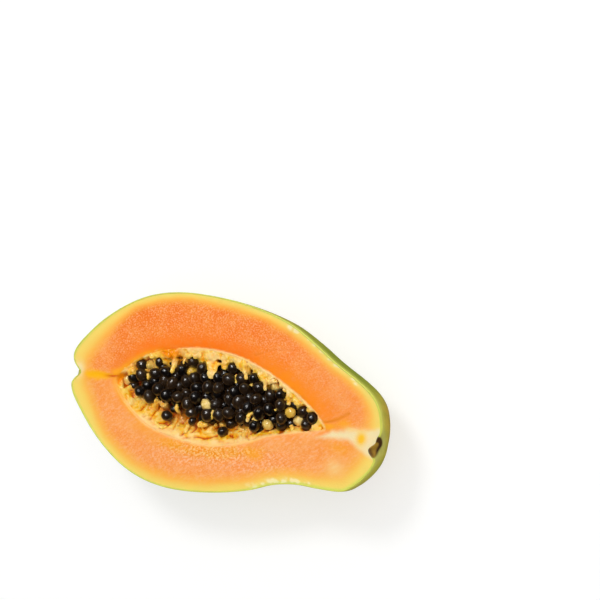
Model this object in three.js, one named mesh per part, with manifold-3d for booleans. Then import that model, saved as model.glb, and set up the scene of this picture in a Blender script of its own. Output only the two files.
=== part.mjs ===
// Half of a ripe papaya, cut lengthwise, lying on its back with the cut face up.
//
// Millimetres, +Z up. +X runs along the fruit to its stem end, and the origin is the middle of
// the fruit's outline, on the surface that it lies on. Four kinds of piece:
//   fruit         peel, flesh and the soft lining of the seed hollow, grown as one piece
//   seed_heap     the ripe seeds that lie packed in the hollow, joined where they press together
//   pale_seed_N   undeveloped seeds, each by itself among the ripe ones
//   stray_seed_N  ripe seeds that lie by themselves on the hollow's shallow side
import * as THREE from "three";
import { mergeVertices } from "three/addons/utils/BufferGeometryUtils.js";
import Module from "manifold-3d";

// ---- Driving dimensions ----------------------------------------------------------------------

const BACK_DEPTH = 45.2; // from the cut face down to the belly, before the resting spot is flattened
const SIT = 0.9; // how much of the belly the resting spot takes off
const CUT_Z = BACK_DEPTH - SIT; // height of the cut face

// The fruit's outline in the cut face, from the blossom end round by the +Y side.
const OUTLINE = [
  [-85.6, -3], [-85.9, 2], [-84.6, 7.6], [-80.4, 14.6], [-71.5, 25.5], [-59, 36], [-46, 43],
  [-30, 47.2], [-10, 48.6], [10, 47.5], [28, 43.9], [42, 37.8], [55, 30.8], [68, 24.9], [76.5, 20],
  [81.6, 14.6], [84.4, 8], [85.6, 2], [85.8, -3], [85.6, -8], [84.2, -13.5], [81.2, -19], [77, -24.2],
  [71.5, -28.1], [60, -29.6], [48, -30.5], [36.5, -33.6], [24, -39.4], [8, -44.4], [-8, -47.6],
  [-22, -48.6], [-36, -46.9], [-50, -41.6], [-65, -31.6], [-78.5, -18.5], [-83.6, -11.5], [-84.9, -7.5],
];
const BELLY = [-6, -0.5]; // where the back is deepest
const BACK_ROUND = 0.9; // power of the back's curve: 1 is an ellipse, and less stands steeper
const STEM_END_ROUND = 0.6; // the stem end is blunter
const STEM_END_SWELL = 0.035; // and swells out a little below the cut face
const LOBES = 5; // the fruit grew from five carpels
const LOBE_SHARE = 0.012; // of the radius

const TIP = [-85.6, -3.8]; // blossom end: the carpels pinch together here
const TIP_DIMPLE = 6.2;
const TIP_DIMPLE_RADIUS = 4.2;
const TIP_FURROW = 5.2;
const TIP_FURROW_REACH = 13;

const SCAR = [85.8, -3.2]; // stem end: the pit that the stalk left
const SCAR_PIT = 5.2;
const SCAR_RADIUS = 6;

// The hollow's outline in the cut face, from its blossom end round by the +Y side.
const HOLLOW = [
  [-58.6, -1.6], [-50.9, 7.6], [-40.9, 14.6], [-29.3, 19.1], [-13.1, 22.6], [3.5, 22.9], [20.7, 19.2],
  [36.7, 13], [49.4, 6.1], [57, -0.8], [54, -3.2], [45.1, -5.6], [30.3, -11], [15.7, -18.4],
  [-2.5, -23.7], [-19.4, -23.9], [-34.2, -21.7], [-45.9, -16.3], [-56, -7.8],
];
const HOLLOW_MIDDLE = [-2, 0.5];
const HOLLOW_DEPTH = 21;
const STEEP_SIDE = { shape: 2.6, power: 0.55 }; // most of the wall drops fast
const SHALLOW_SIDE = { shape: 1.1, power: 1.3 }; // and one side slopes
const SHALLOW_TOWARD = -2.0; // its direction from the middle, in radians from +X
const SHALLOW_SPREAD = 0.95;
const LINING_RIDGE = 0.9; // ribs of soft lining run down the wall
const LINING_RIDGES = 23;

// The seeds' own outline in the hollow, from its blossom end round by the +Y side.
const HEAP = [
  [-57, -0.8], [-50, 8.2], [-38, 13.4], [-23, 17.4], [-12, 18.6], [0, 17.6], [12, 17.4], [24, 13.4],
  [35, 10], [45, 5], [53, -0.8], [50, -3.2], [36, -7.6], [21, -11.5], [6, -11.4], [-10, -15.2],
  [-22, -11.2], [-34, -9.2], [-48, -8.6], [-55, -5.6],
];
const HEAP_MIDDLE = [-2, 2];
const HEAP_CROWN = 1.6; // the heap's middle stands this far over the cut face
const HEAP_FALL = 2.8; // and its edge is this much lower than its middle
const SEED_RADIUS = [2.5, 2.95];
const SEED_LONG = 1.12; // a seed's long half against its radius
const SEED_FLAT = 0.94;
const SEED_CLEAR = 0.45; // between a seed and the flesh
const SEED_PRESS = 0.9; // ripe seeds press into each other: their spacing against their radii
const SEED_DRAW = 77; // starts the random draws
const SEED_DIP = 1.5; // the top seeds lie up to this much under the heap's top
const SEED_PROUD = 0.8; // where the wall is close, they stand up to this much over it
const SEED_SUNK = 1.2; // or press this deep into the lining
const SEED_SINK = 4; // a seed that others lie on is at most this deep
const SMALL = 0.74; // size of the few small seeds
const CORE_COVER = 3.6; // the core lies this far under the heap's top
const CORE_SHARE = 0.92; // of the heap's outline
const CORE_FLOOR = 1; // between the core and the hollow's floor
const CORE_THIN = 0.6; // its thickness at its edge

// Middles of the seeds on the heap's top, those that lie on others first: x, y, and size.
const FRONT_SEEDS = [
  [-51.5, -0.5], [-48, 7], [-46.5, 2], [-45.5, -6], [-39.5, -7.5], [-38.5, 4.5], [-38, 10.5, SMALL],
  [-33, 6.5], [-35, -2.5], [-29.5, -4.5], [-23.5, -4], [-28, 2], [-25, 9], [-20, 14.5], [-17.5, 7],
  [-13.5, 12.5], [-11, 8.5], [-4, 10], [-8, 4.5], [-13.5, -2], [-17.5, -6], [-15.5, -10],
  [-14.5, -14, SMALL], [-6, -9], [20, -8.5], [0, -7.5], [2.5, 16], [2, 10.5], [8, 12], [6, 5], [11.5, 8],
  [3.5, 1], [9.5, 1], [14.5, -0.5], [5, -5.5], [12, -6.5], [14.5, 13.5], [18, 10], [18.5, 4.5],
  [24.5, 7.5], [30, 9.5], [31.5, 4.5], [21.5, -2], [26, 1], [33, -1.5], [33, -5.5], [42.5, 3.5],
  [48.5, 2], [45.5, -2],
];
const BACK_SEEDS = [
  [-51.5, -4.5], [-42.5, -2.5], [-39, 0.5], [-33.5, 2], [-29.5, -1.5], [-21.5, 4.5], [-14.5, 2.5],
  [-2.5, 5.5], [-20, -1.5], [-3, -3], [-12, -7], [-8.5, -0.5], [-4, 2], [14, 4.5], [6.5, -2],
  [10.5, -3.5], [28, -3.5], [38, 6, SMALL],
];

// Undeveloped pale seeds in the heap, and ripe seeds by themselves on the shallow side.
const PALES = [
  [-55, -2.3], [-44, 8], [-20, 9.5], [-7.5, -4], [26, -6.5], [25.5, 12.5], [37, 2], [41, -1],
];
const PALE_SHARE = 0.97; // a pale seed's size against a ripe one's
const STRAYS = [[3.6, -15.2], [-27.5, -14.5], [-27, -10.8, SMALL]];
const STRAY_SUNK = 1.4; // into a bed in the lining
const STRAY_RADIUS = 2.75;

// The lining's large tongues: root in the wall, tip, width.
const TONGUES = [
  { root: [-44, 17.5], tip: [-41, 11.5], width: 4.4 },
  { root: [-29, 21.5], tip: [-29, 7], width: 3.6 },
  { root: [-9.5, 25], tip: [-6.5, 9], width: 9 },
  { root: [6, 25], tip: [11.5, 12.5], width: 3.6 },
  { root: [20, 21.5], tip: [22, 9.5], width: 3.8 },
  { root: [34.3, 16.5], tip: [35.5, 5.5], width: 2.8 },
];
const TONGUE_DROP = 3; // their middles start this much lower than the cut face
const TONGUE_SAG = 1;
const TONGUE_TAPER = 0.62;
const TONGUE_FLAT = 0.45; // their thickness against their width
const TONGUE_STEPS = 6;
const TONGUE_SIDES = 8;

const PIECE_CLEAR = 0.35; // gap between pieces that touch
const WELD = 0.02; // edges shorter than this are closed up where pieces join

// ---- Helpers -------------------------------------------------------------------------------

const wasm = await Module();
wasm.setup();

function drawer(seed) {
  let state = seed;
  return () => {
    state = (state + 0x6d2b79f5) | 0;
    let t = Math.imul(state ^ (state >>> 15), 1 | state);
    t = (t + Math.imul(t ^ (t >>> 7), 61 | t)) ^ t;
    return ((t ^ (t >>> 14)) >>> 0) / 4294967296;
  };
}

// A closed smooth curve through the points, with perSpan samples from each point to the next.
function closedCurve(points, perSpan) {
  const n = points.length;
  const samples = [];
  for (let i = 0; i < n; i++) {
    const [a, b, c, d] = [-1, 0, 1, 2].map((k) => points[(i + k + n) % n]);
    for (let k = 0; k < perSpan; k++) {
      const u = k / perSpan;
      samples.push([0, 1].map((axis) => {
        const slopeB = (c[axis] - a[axis]) / 2;
        const slopeC = (d[axis] - b[axis]) / 2;
        const rise = c[axis] - b[axis];
        const bend = 3 * rise - 2 * slopeB - slopeC;
        return b[axis] + u * (slopeB + u * (bend + u * (slopeB + slopeC - 2 * rise)));
      }));
    }
  }
  return samples;
}

// How far a closed curve lies from its middle, as a function of the direction from -pi to pi.
function reachOf(points, middle) {
  const samples = closedCurve(points, 24)
    .map(([x, y]) => [x - middle[0], y - middle[1]])
    .map(([x, y]) => ({ angle: Math.atan2(y, x), reach: Math.hypot(x, y) }))
    .sort((a, b) => a.angle - b.angle);
  const first = samples[0];
  const last = samples[samples.length - 1];
  samples.unshift({ angle: last.angle - 2 * Math.PI, reach: last.reach });
  samples.push({ angle: first.angle + 2 * Math.PI, reach: first.reach });
  return (angle) => {
    let low = 0;
    let high = samples.length - 1;
    while (high - low > 1) {
      const half = (low + high) >> 1;
      if (samples[half].angle < angle) low = half;
      else high = half;
    }
    const share = (angle - samples[low].angle) / (samples[high].angle - samples[low].angle);
    return mix(samples[low].reach, samples[high].reach, share);
  };
}

// A closed solid from rings of equal length, capped by a fan at both ends. The rings run clockwise
// as seen from the last one's side.
function solidOfRings(rings, bottom, top) {
  const n = rings[0].length;
  const vertices = [bottom, ...rings.flat(), top];
  const at = (row, k) => 1 + row * n + (k % n);
  const last = vertices.length - 1;
  const faces = [];
  for (let k = 0; k < n; k++) {
    faces.push([0, at(0, k), at(0, k + 1)]);
    faces.push([last, at(rings.length - 1, k + 1), at(rings.length - 1, k)]);
  }
  for (let row = 0; row + 1 < rings.length; row++)
    for (let k = 0; k < n; k++) {
      faces.push([at(row, k), at(row + 1, k + 1), at(row, k + 1)]);
      faces.push([at(row, k), at(row + 1, k), at(row + 1, k + 1)]);
    }
  return solidOfFaces(vertices, faces);
}

function solidOfFaces(vertices, faces) {
  const vertProperties = new Float32Array(vertices.flat());
  const triVerts = new Uint32Array(faces.flat());
  return new wasm.Manifold(new wasm.Mesh({ numProp: 3, vertProperties, triVerts, tolerance: WELD }));
}

function solidOfGeometry(geometry) {
  const bare = geometry.clone();
  bare.deleteAttribute("normal");
  bare.deleteAttribute("uv");
  const merged = mergeVertices(bare, 1e-4);
  const vertProperties = merged.attributes.position.array;
  const triVerts = new Uint32Array(merged.index.array);
  return new wasm.Manifold(new wasm.Mesh({ numProp: 3, vertProperties, triVerts, tolerance: WELD }));
}

function meshOf(name, solid, material) {
  const mesh = solid.getMesh();
  const positions = new Float32Array(mesh.numVert * 3);
  for (let i = 0; i < mesh.numVert; i++)
    positions.set(mesh.vertProperties.subarray(i * mesh.numProp, i * mesh.numProp + 3), i * 3);
  const geometry = new THREE.BufferGeometry();
  geometry.setAttribute("position", new THREE.BufferAttribute(positions, 3));
  geometry.setIndex(new THREE.BufferAttribute(mesh.triVerts, 1));
  geometry.computeVertexNormals();
  const made = new THREE.Mesh(geometry, material);
  made.name = name;
  return made;
}

const mix = (a, b, share) => a + (b - a) * share;

// ---- Peel: the outside of the fruit ---------------------------------------------------------

// Five furrows run into the dimple at the blossom end.
function tipInset(y, z) {
  const across = y - TIP[1];
  const down = CUT_Z - z;
  const away = Math.hypot(across, down);
  const dimple = TIP_DIMPLE * Math.exp(-((away / TIP_DIMPLE_RADIUS) ** 1.4));
  const turn = Math.atan2(down, across);
  const furrow = Math.cos((turn * LOBES) / 2 + 0.3) ** 16;
  const reach = Math.exp(-away / TIP_FURROW_REACH) * (1 - Math.exp(-away / 3)) * (1 - Math.exp(-down / 4));
  return dimple + TIP_FURROW * furrow * reach;
}

function scarInset(y, z) {
  const away = Math.hypot(y - SCAR[1], CUT_Z - z);
  return SCAR_PIT * Math.exp(-((away / SCAR_RADIUS) ** 4));
}

// The peel under a point of the outline: turn 0 at the cut face, a quarter turn at the belly.
function peelPoint([x, y], turn) {
  const blunt = THREE.MathUtils.smoothstep(x + y / 2, 5, 75);
  const swell = 1 + STEM_END_SWELL * blunt * Math.sin(2 * turn);
  const out = swell * Math.cos(turn) ** mix(BACK_ROUND, STEM_END_ROUND, blunt);
  const px = BELLY[0] + (x - BELLY[0]) * out;
  const py = BELLY[1] + (y - BELLY[1]) * out;
  const down = BACK_DEPTH * Math.sin(turn);
  const around = Math.atan2(down, py - BELLY[1]);
  const lobe = 1 + LOBE_SHARE * Math.cos(LOBES * (around - Math.PI / 2) + Math.PI) * Math.sin(turn);
  const ly = BELLY[1] + (py - BELLY[1]) * lobe;
  const lz = CUT_Z - down * lobe;
  const nearTip = THREE.MathUtils.smoothstep(-px, 45, 80);
  const nearScar = THREE.MathUtils.smoothstep(px, 60, 82);
  const lx = px + nearTip * tipInset(ly, lz) - nearScar * scarInset(ly, lz);
  return [lx, ly, Math.max(lz, 0)];
}

function peelSolid() {
  const ring = closedCurve(OUTLINE, 2);
  const rows = 14;
  const rings = [];
  for (let row = 1; row <= rows; row++) {
    const turn = (Math.PI / 2) * (1 - row / rows);
    rings.push(ring.map((point) => peelPoint(point, turn)));
  }
  return solidOfRings(rings, [BELLY[0], BELLY[1], 0], [BELLY[0], BELLY[1], CUT_Z]);
}

// ---- Hollow: the seed cavity in the cut face --------------------------------------------------

const hollowReach = reachOf(HOLLOW, HOLLOW_MIDDLE);

// Depth of the hollow below the cut face, at a share of the way from its middle to its edge.
function hollowDepth(angle, share) {
  const off = Math.atan2(Math.sin(angle - SHALLOW_TOWARD), Math.cos(angle - SHALLOW_TOWARD));
  const steep = 1 - Math.exp(-((off / SHALLOW_SPREAD) ** 4));
  const shape = mix(SHALLOW_SIDE.shape, STEEP_SIDE.shape, steep);
  const power = mix(SHALLOW_SIDE.power, STEEP_SIDE.power, steep);
  return HOLLOW_DEPTH * Math.max(1 - share ** shape, 0) ** power;
}

function liningRidge(angle, share) {
  const wave = Math.sin(LINING_RIDGES * angle + 2.2 * Math.sin(3 * angle) + 4 * share);
  return LINING_RIDGE * wave * THREE.MathUtils.smoothstep(share, 0.35, 0.7) * (1 - share ** 8);
}

function hollowSolid() {
  const ring = closedCurve(HOLLOW, 5);
  const [mx, my] = HOLLOW_MIDDLE;
  const lid = CUT_Z + 5;
  const rows = 9;
  const rings = [];
  for (let row = 1; row <= rows; row++) {
    const share = Math.sin((Math.PI * row) / (2 * rows)) ** 0.8;
    rings.push(ring.map(([x, y]) => {
      const angle = Math.atan2(y - my, x - mx);
      const depth = Math.max(hollowDepth(angle, share) + liningRidge(angle, share), 0);
      return [mix(mx, x, share), mix(my, y, share), row < rows ? CUT_Z - depth : CUT_Z];
    }));
  }
  rings.push(ring.map(([x, y]) => [x, y, lid]));
  return solidOfRings(rings, [mx, my, CUT_Z - HOLLOW_DEPTH], [mx, my, lid]);
}

// Height of the hollow's floor, ridges included, as the seeds feel it.
function floorHeight(x, y) {
  const [dx, dy] = [x - HOLLOW_MIDDLE[0], y - HOLLOW_MIDDLE[1]];
  const angle = Math.atan2(dy, dx);
  const share = Math.hypot(dx, dy) / hollowReach(angle);
  return share >= 1 ? CUT_Z : CUT_Z - hollowDepth(angle, share) + LINING_RIDGE;
}

// ---- Tongues of soft lining -------------------------------------------------------------------

// A tongue's middle and half width, at a share of the way from its root to its tip.
function tongueSection({ root, tip, width }, along) {
  const z = CUT_Z - TONGUE_DROP - TONGUE_SAG * along * along;
  const half = (width / 2) * (1 - TONGUE_TAPER * along ** 1.5);
  return { x: mix(root[0], tip[0], along), y: mix(root[1], tip[1], along), z, half };
}

// A tapered tongue whose root is sunk in the wall and whose tip reaches in between the seeds.
function tongueSolid(tongue, extra) {
  const heading = Math.atan2(tongue.tip[1] - tongue.root[1], tongue.tip[0] - tongue.root[0]);
  const thick = (tongue.width / 2) * TONGUE_FLAT;
  const rings = [];
  for (let step = 0; step <= TONGUE_STEPS; step++) {
    const { x, y, z, half } = tongueSection(tongue, step / TONGUE_STEPS);
    const ring = [];
    for (let k = 0; k < TONGUE_SIDES; k++) {
      const turn = (-2 * Math.PI * k) / TONGUE_SIDES;
      const across = (half + extra) * Math.cos(turn);
      const up = (thick + extra) * Math.sin(turn);
      ring.push([x - across * Math.sin(heading), y + across * Math.cos(heading), z + up]);
    }
    rings.push(ring);
  }
  const start = tongueSection(tongue, 0);
  const end = tongueSection(tongue, 1);
  const push = end.half + extra;
  const tip = [end.x + push * Math.cos(heading), end.y + push * Math.sin(heading), end.z];
  return solidOfRings(rings, [start.x, start.y, start.z], tip);
}

// ---- Seeds --------------------------------------------------------------------------------------

const heapReach = reachOf(HEAP, HEAP_MIDDLE);

// How far out a point lies in the heap: 0 in its middle, 1 on its edge.
function heapShare(x, y) {
  const [dx, dy] = [x - HEAP_MIDDLE[0], y - HEAP_MIDDLE[1]];
  return Math.hypot(dx, dy) / heapReach(Math.atan2(dy, dx));
}

const heapTop = (share) => CUT_Z + HEAP_CROWN - HEAP_FALL * share ** 3;

// How high the middle of a ball has to lie to keep clear of the hollow's wall all round.
function wallHeight(x, y, radius) {
  const reach = radius + SEED_CLEAR;
  let z = floorHeight(x, y) + reach;
  for (const share of [0.4, 0.75, 0.97])
    for (let k = 0; k < 10; k++) {
      const turn = (k * Math.PI) / 5;
      const floor = floorHeight(x + share * reach * Math.cos(turn), y + share * reach * Math.sin(turn));
      z = Math.max(z, floor + reach * Math.sqrt(1 - share * share));
    }
  return z;
}

// Lays seeds in turn. Each lies just under the heap's top, or as low as the ones on it press it.
function laySeeds(spots, laid, draw) {
  return spots.map(([x, y, size = 1]) => {
    const radius = size * mix(SEED_RADIUS[0], SEED_RADIUS[1], draw());
    const crown = heapTop(Math.min(heapShare(x, y), 1)) - radius;
    const wall = Math.min(wallHeight(x, y, radius) - SEED_SUNK, crown + SEED_PROUD);
    let z = Math.max(crown - SEED_DIP * draw(), wall);
    for (const seed of laid) {
      const near = (SEED_PRESS * (radius + seed.radius)) ** 2 - (x - seed.x) ** 2 - (y - seed.y) ** 2;
      if (near > 0) z = Math.min(z, Math.max(seed.z - Math.sqrt(near), crown - SEED_SINK));
    }
    const seed = { x, y, z, radius, turns: [draw() * 6, draw() * 6, draw() * 6] };
    laid.push(seed);
    return seed;
  });
}

function strayAt([x, y, size = 1], index) {
  const radius = size * STRAY_RADIUS;
  const z = wallHeight(x, y, radius) - STRAY_SUNK;
  return { x, y, z, radius, turns: [index, 2 * index, 0.7 * index] };
}

function seedSolid(seed, grow) {
  const round = new THREE.IcosahedronGeometry(1, 1);
  const half = seed.radius * grow;
  round.scale(half, half * SEED_FLAT, half * SEED_LONG);
  round.rotateX(seed.turns[0]).rotateY(seed.turns[1]).rotateZ(seed.turns[2]);
  round.translate(seed.x, seed.y, seed.z);
  return solidOfGeometry(round);
}

// A plain body under the top seeds, which they stand out of.
function coreSolid() {
  const sides = 40;
  const rows = 5;
  const middle = { x: HEAP_MIDDLE[0], y: HEAP_MIDDLE[1], share: 0 };
  const under = ({ x, y }) => floorHeight(x, y) + CORE_FLOOR;
  const over = ({ share }) => heapTop(share) - CORE_COVER;
  const place = (angle, share) => {
    const reach = share * heapReach(angle);
    return { x: middle.x + reach * Math.cos(angle), y: middle.y + reach * Math.sin(angle), share };
  };
  const rays = Array.from({ length: sides }, (_, k) => {
    const angle = Math.PI - (2 * Math.PI * k) / sides;
    let edge = CORE_SHARE;
    while (over(place(angle, edge)) - under(place(angle, edge)) < CORE_THIN) edge -= 0.02;
    return { angle, edge };
  });
  const ring = (row, height) => rays.map(({ angle, edge }) => {
    const spot = place(angle, (edge * row) / rows);
    return [spot.x, spot.y, height(spot)];
  });
  const rings = [];
  for (let row = 1; row <= rows; row++) rings.push(ring(row, under));
  for (let row = rows; row >= 1; row--) rings.push(ring(row, over));
  return solidOfRings(rings, [middle.x, middle.y, under(middle)], [middle.x, middle.y, over(middle)]);
}

// ---- The object ------------------------------------------------------------------------------

const flesh = new THREE.MeshStandardMaterial({ color: "#f4904a", roughness: 0.45, metalness: 0 });
const paleSeed = new THREE.MeshStandardMaterial({ color: "#ecd9a0", roughness: 0.35, metalness: 0 });
const ripeSeed = new THREE.MeshStandardMaterial({ color: "#1d1a16", roughness: 0.2, metalness: 0 });

const draw = drawer(SEED_DRAW);
const laid = [];
const front = laySeeds(FRONT_SEEDS, laid, draw);
const pales = laySeeds(PALES, laid, draw);
const ripe = [...front, ...laySeeds(BACK_SEEDS, laid, draw)];
const strays = STRAYS.map(strayAt);
const bed = (seed) => seedSolid(seed, 1 + PIECE_CLEAR / seed.radius);

let fruit = peelSolid().subtract(hollowSolid());
for (const tongue of TONGUES) fruit = fruit.add(tongueSolid(tongue, 0));
for (const seed of [...ripe, ...pales, ...strays]) fruit = fruit.subtract(bed(seed));

let heap = coreSolid();
for (const seed of ripe) heap = heap.add(seedSolid(seed, 1));
for (const tongue of TONGUES) heap = heap.subtract(tongueSolid(tongue, PIECE_CLEAR));
for (const seed of [...pales, ...strays]) heap = heap.subtract(bed(seed));

const papaya = new THREE.Group();
papaya.add(meshOf("fruit", fruit, flesh));
papaya.add(meshOf("seed_heap", heap, ripeSeed));
for (const [index, seed] of pales.entries())
  papaya.add(meshOf(`pale_seed_${index + 1}`, seedSolid(seed, PALE_SHARE), paleSeed));
for (const [index, seed] of strays.entries())
  papaya.add(meshOf(`stray_seed_${index + 1}`, seedSolid(seed, 1), ripeSeed));

export default papaya;
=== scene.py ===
# %% [markdown]
# # Half a papaya
# The fruit is cut lengthwise and lies on its back, with the cut face up. The solids that carry it
# come packed as a fixed frame, with +X towards the stem end and +Z up out of the cut face. This
# lesson dresses them: a waxy peel, moist flesh, the torn soft lining of the seed hollow, and the
# wet seeds in it.

# %% Load the frame
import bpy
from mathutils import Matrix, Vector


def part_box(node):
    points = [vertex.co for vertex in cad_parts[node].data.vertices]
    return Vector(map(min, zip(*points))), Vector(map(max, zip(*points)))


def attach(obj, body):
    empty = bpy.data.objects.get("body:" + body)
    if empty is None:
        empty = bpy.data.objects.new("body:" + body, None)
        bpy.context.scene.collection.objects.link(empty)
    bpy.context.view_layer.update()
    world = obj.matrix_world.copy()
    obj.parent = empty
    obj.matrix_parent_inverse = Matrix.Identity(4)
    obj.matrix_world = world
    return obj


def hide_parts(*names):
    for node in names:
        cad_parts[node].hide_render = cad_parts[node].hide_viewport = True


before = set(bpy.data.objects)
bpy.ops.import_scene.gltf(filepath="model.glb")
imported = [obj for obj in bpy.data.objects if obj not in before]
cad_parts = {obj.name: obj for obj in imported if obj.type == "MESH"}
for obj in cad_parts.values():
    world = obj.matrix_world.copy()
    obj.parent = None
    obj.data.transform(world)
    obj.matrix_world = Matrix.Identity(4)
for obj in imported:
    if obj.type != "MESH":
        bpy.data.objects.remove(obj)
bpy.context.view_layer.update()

# %% Libraries and units
import math
from functools import partial
from itertools import product

import bpy
import numpy as np
from mathutils import Matrix, Vector, noise
from mathutils.kdtree import KDTree

MM = 0.001


def smoothstep(value, low, high):
    share = np.clip((value - low) / (high - low), 0, 1)
    return share * share * (3 - 2 * share)


def mix(a, b, share):
    return a + (b - a) * share


print("one millimetre is", MM, "of Blender's metres")


# %% [markdown]
# ## The fruit's measures
# A papaya's form is smooth and irregular, so it is given by its outline in the cut face and a rule
# for its back. These are the same named sizes, in millimetres, that the solids are made from, so
# every finer surface here lies where the solid does.

# %% Sizes of the fruit, in millimetres
BACK_DEPTH = 45.2
SIT = 0.9
CUT_Z = BACK_DEPTH - SIT
OUTLINE = [
    (-85.6, -3), (-85.9, 2), (-84.6, 7.6), (-80.4, 14.6), (-71.5, 25.5), (-59, 36), (-46, 43),
    (-30, 47.2), (-10, 48.6), (10, 47.5), (28, 43.9), (42, 37.8), (55, 30.8), (68, 24.9),
    (76.5, 20), (81.6, 14.6), (84.4, 8), (85.6, 2), (85.8, -3), (85.6, -8), (84.2, -13.5),
    (81.2, -19), (77, -24.2), (71.5, -28.1), (60, -29.6), (48, -30.5), (36.5, -33.6), (24, -39.4),
    (8, -44.4), (-8, -47.6), (-22, -48.6), (-36, -46.9), (-50, -41.6), (-65, -31.6),
    (-78.5, -18.5), (-83.6, -11.5), (-84.9, -7.5),
]
BELLY = (-6, -0.5)
BACK_ROUND = 0.9
STEM_END_ROUND = 0.6
STEM_END_SWELL = 0.035
STEM_END_FROM = (5, 75)
LOBES = 5
LOBE_SHARE = 0.012
TIP = (-85.6, -3.8)
TIP_FROM = (45, 80)
TIP_DIMPLE = 6.2
TIP_DIMPLE_RADIUS = 4.2
TIP_FURROW = 5.2
TIP_FURROW_TURN = 0.3
TIP_FURROW_NARROW = 16
TIP_FURROW_REACH = 13
TIP_FURROW_START = (3, 4)
SCAR = (85.8, -3.2)
SCAR_FROM = (60, 82)
SCAR_PIT = 4.8
SCAR_RADIUS = 5.3
SCAR_FILL = 3.2
SCAR_FILL_FROM = (-3, 1.5)
print("length:", SCAR[0] - TIP[0], "mm, cut face at", CUT_Z, "mm")


# %% A closed smooth curve through given points
def closed_curve(points, per_span):
    """Samples of a closed Catmull-Rom curve, per_span of them from each point to the next."""
    b = np.array(points, float)
    a, c, d = np.roll(b, 1, 0), np.roll(b, -1, 0), np.roll(b, -2, 0)
    u = (np.arange(per_span) / per_span)[None, :, None]
    slope_b, slope_c, rise = ((v[:, None, :]) for v in ((c - a) / 2, (d - b) / 2, c - b))
    bend = 3 * rise - 2 * slope_b - slope_c
    samples = b[:, None, :] + u * (slope_b + u * (bend + u * (slope_b + slope_c - 2 * rise)))
    return samples.reshape(-1, 2)


# %% The back of the fruit, as a rule
def tip_inset(y, z):
    """How far the blossom end is pulled in: a dimple with furrows between the carpels."""
    across, down = y - TIP[1], CUT_Z - z
    away = np.hypot(across, down)
    dimple = TIP_DIMPLE * np.exp(-((away / TIP_DIMPLE_RADIUS) ** 1.4))
    furrow = np.cos(np.arctan2(down, across) * LOBES / 2 + TIP_FURROW_TURN) ** TIP_FURROW_NARROW
    from_tip, from_cut = TIP_FURROW_START
    starts = (1 - np.exp(-away / from_tip)) * (1 - np.exp(-down / from_cut))
    return dimple + TIP_FURROW * furrow * np.exp(-away / TIP_FURROW_REACH) * starts


def scar_inset(y, z):
    """How far in the pit that the stalk left goes: less on one side, where flesh fills it."""
    filled = SCAR_FILL * smoothstep(y - SCAR[1], *SCAR_FILL_FROM)
    return (SCAR_PIT - filled) * np.exp(-((np.hypot(y - SCAR[1], CUT_Z - z) / SCAR_RADIUS) ** 4))


def peel_points(outline, turn):
    """The peel under each outline point: turn 0 is the cut face, a quarter turn the belly."""
    x, y = outline[:, 0], outline[:, 1]
    blunt = smoothstep(x + y / 2, *STEM_END_FROM)
    swell = 1 + STEM_END_SWELL * blunt * math.sin(2 * turn)
    out = swell * math.cos(turn) ** mix(BACK_ROUND, STEM_END_ROUND, blunt)
    px, py = BELLY[0] + (x - BELLY[0]) * out, BELLY[1] + (y - BELLY[1]) * out
    down = BACK_DEPTH * math.sin(turn)
    around = np.arctan2(down, py - BELLY[1])
    lobe = 1 + LOBE_SHARE * np.cos(LOBES * (around - math.pi / 2) + math.pi) * math.sin(turn)
    ly = BELLY[1] + (py - BELLY[1]) * lobe
    lz = CUT_Z - down * lobe
    lx = px + smoothstep(-px, *TIP_FROM) * tip_inset(ly, lz)
    lx -= smoothstep(px, *SCAR_FROM) * scar_inset(ly, lz)
    return np.stack([lx, ly, np.maximum(lz, 0)], 1)


print("stem end reaches", round(float(peel_points(closed_curve(OUTLINE, 8), 0)[:, 0].max()), 1), "mm")


# %% [markdown]
# ## Sizes of the seed hollow
# A papaya's seeds lie in one long hollow, whose wall is steep nearly all round. A knife never goes
# through the very middle, so on one side the wall slopes gently and shows the torn lining. The hollow
# is given by its rim in the cut face, and by a rule for how deep it is on the way to the rim.

# %% The hollow, in millimetres
HOLLOW = [
    (-58.6, -1.6), (-50.9, 7.6), (-40.9, 14.6), (-29.3, 19.1), (-13.1, 22.6), (3.5, 22.9),
    (20.7, 19.2), (36.7, 13), (49.4, 6.1), (57, -0.8), (54, -3.2), (45.1, -5.6), (30.3, -11),
    (15.7, -18.4), (-2.5, -23.7), (-19.4, -23.9), (-34.2, -21.7), (-45.9, -16.3), (-56, -7.8),
]
HOLLOW_MIDDLE = (-2, 0.5)
HOLLOW_DEPTH = 21
STEEP_SIDE = (2.6, 0.55)
SHALLOW_SIDE = (1.1, 1.3)
SHALLOW_TOWARD = -2.0
SHALLOW_SPREAD = 0.95
FLOOR_LIFT = 0.9
REACH_STEPS = 24


def reach_of(points, middle):
    """How far a closed curve lies from its middle, as a function of the direction."""
    samples = closed_curve(points, REACH_STEPS) - np.array(middle)
    angle = np.arctan2(samples[:, 1], samples[:, 0])
    order = np.argsort(angle)
    angle, reach = angle[order], np.hypot(samples[:, 0], samples[:, 1])[order]
    angle = np.concatenate([[angle[-1] - 2 * math.pi], angle, [angle[0] + 2 * math.pi]])
    reach = np.concatenate([[reach[-1]], reach, [reach[0]]])
    return lambda direction: np.interp(direction, angle, reach)


hollow_reach = reach_of(HOLLOW, HOLLOW_MIDDLE)


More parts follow.
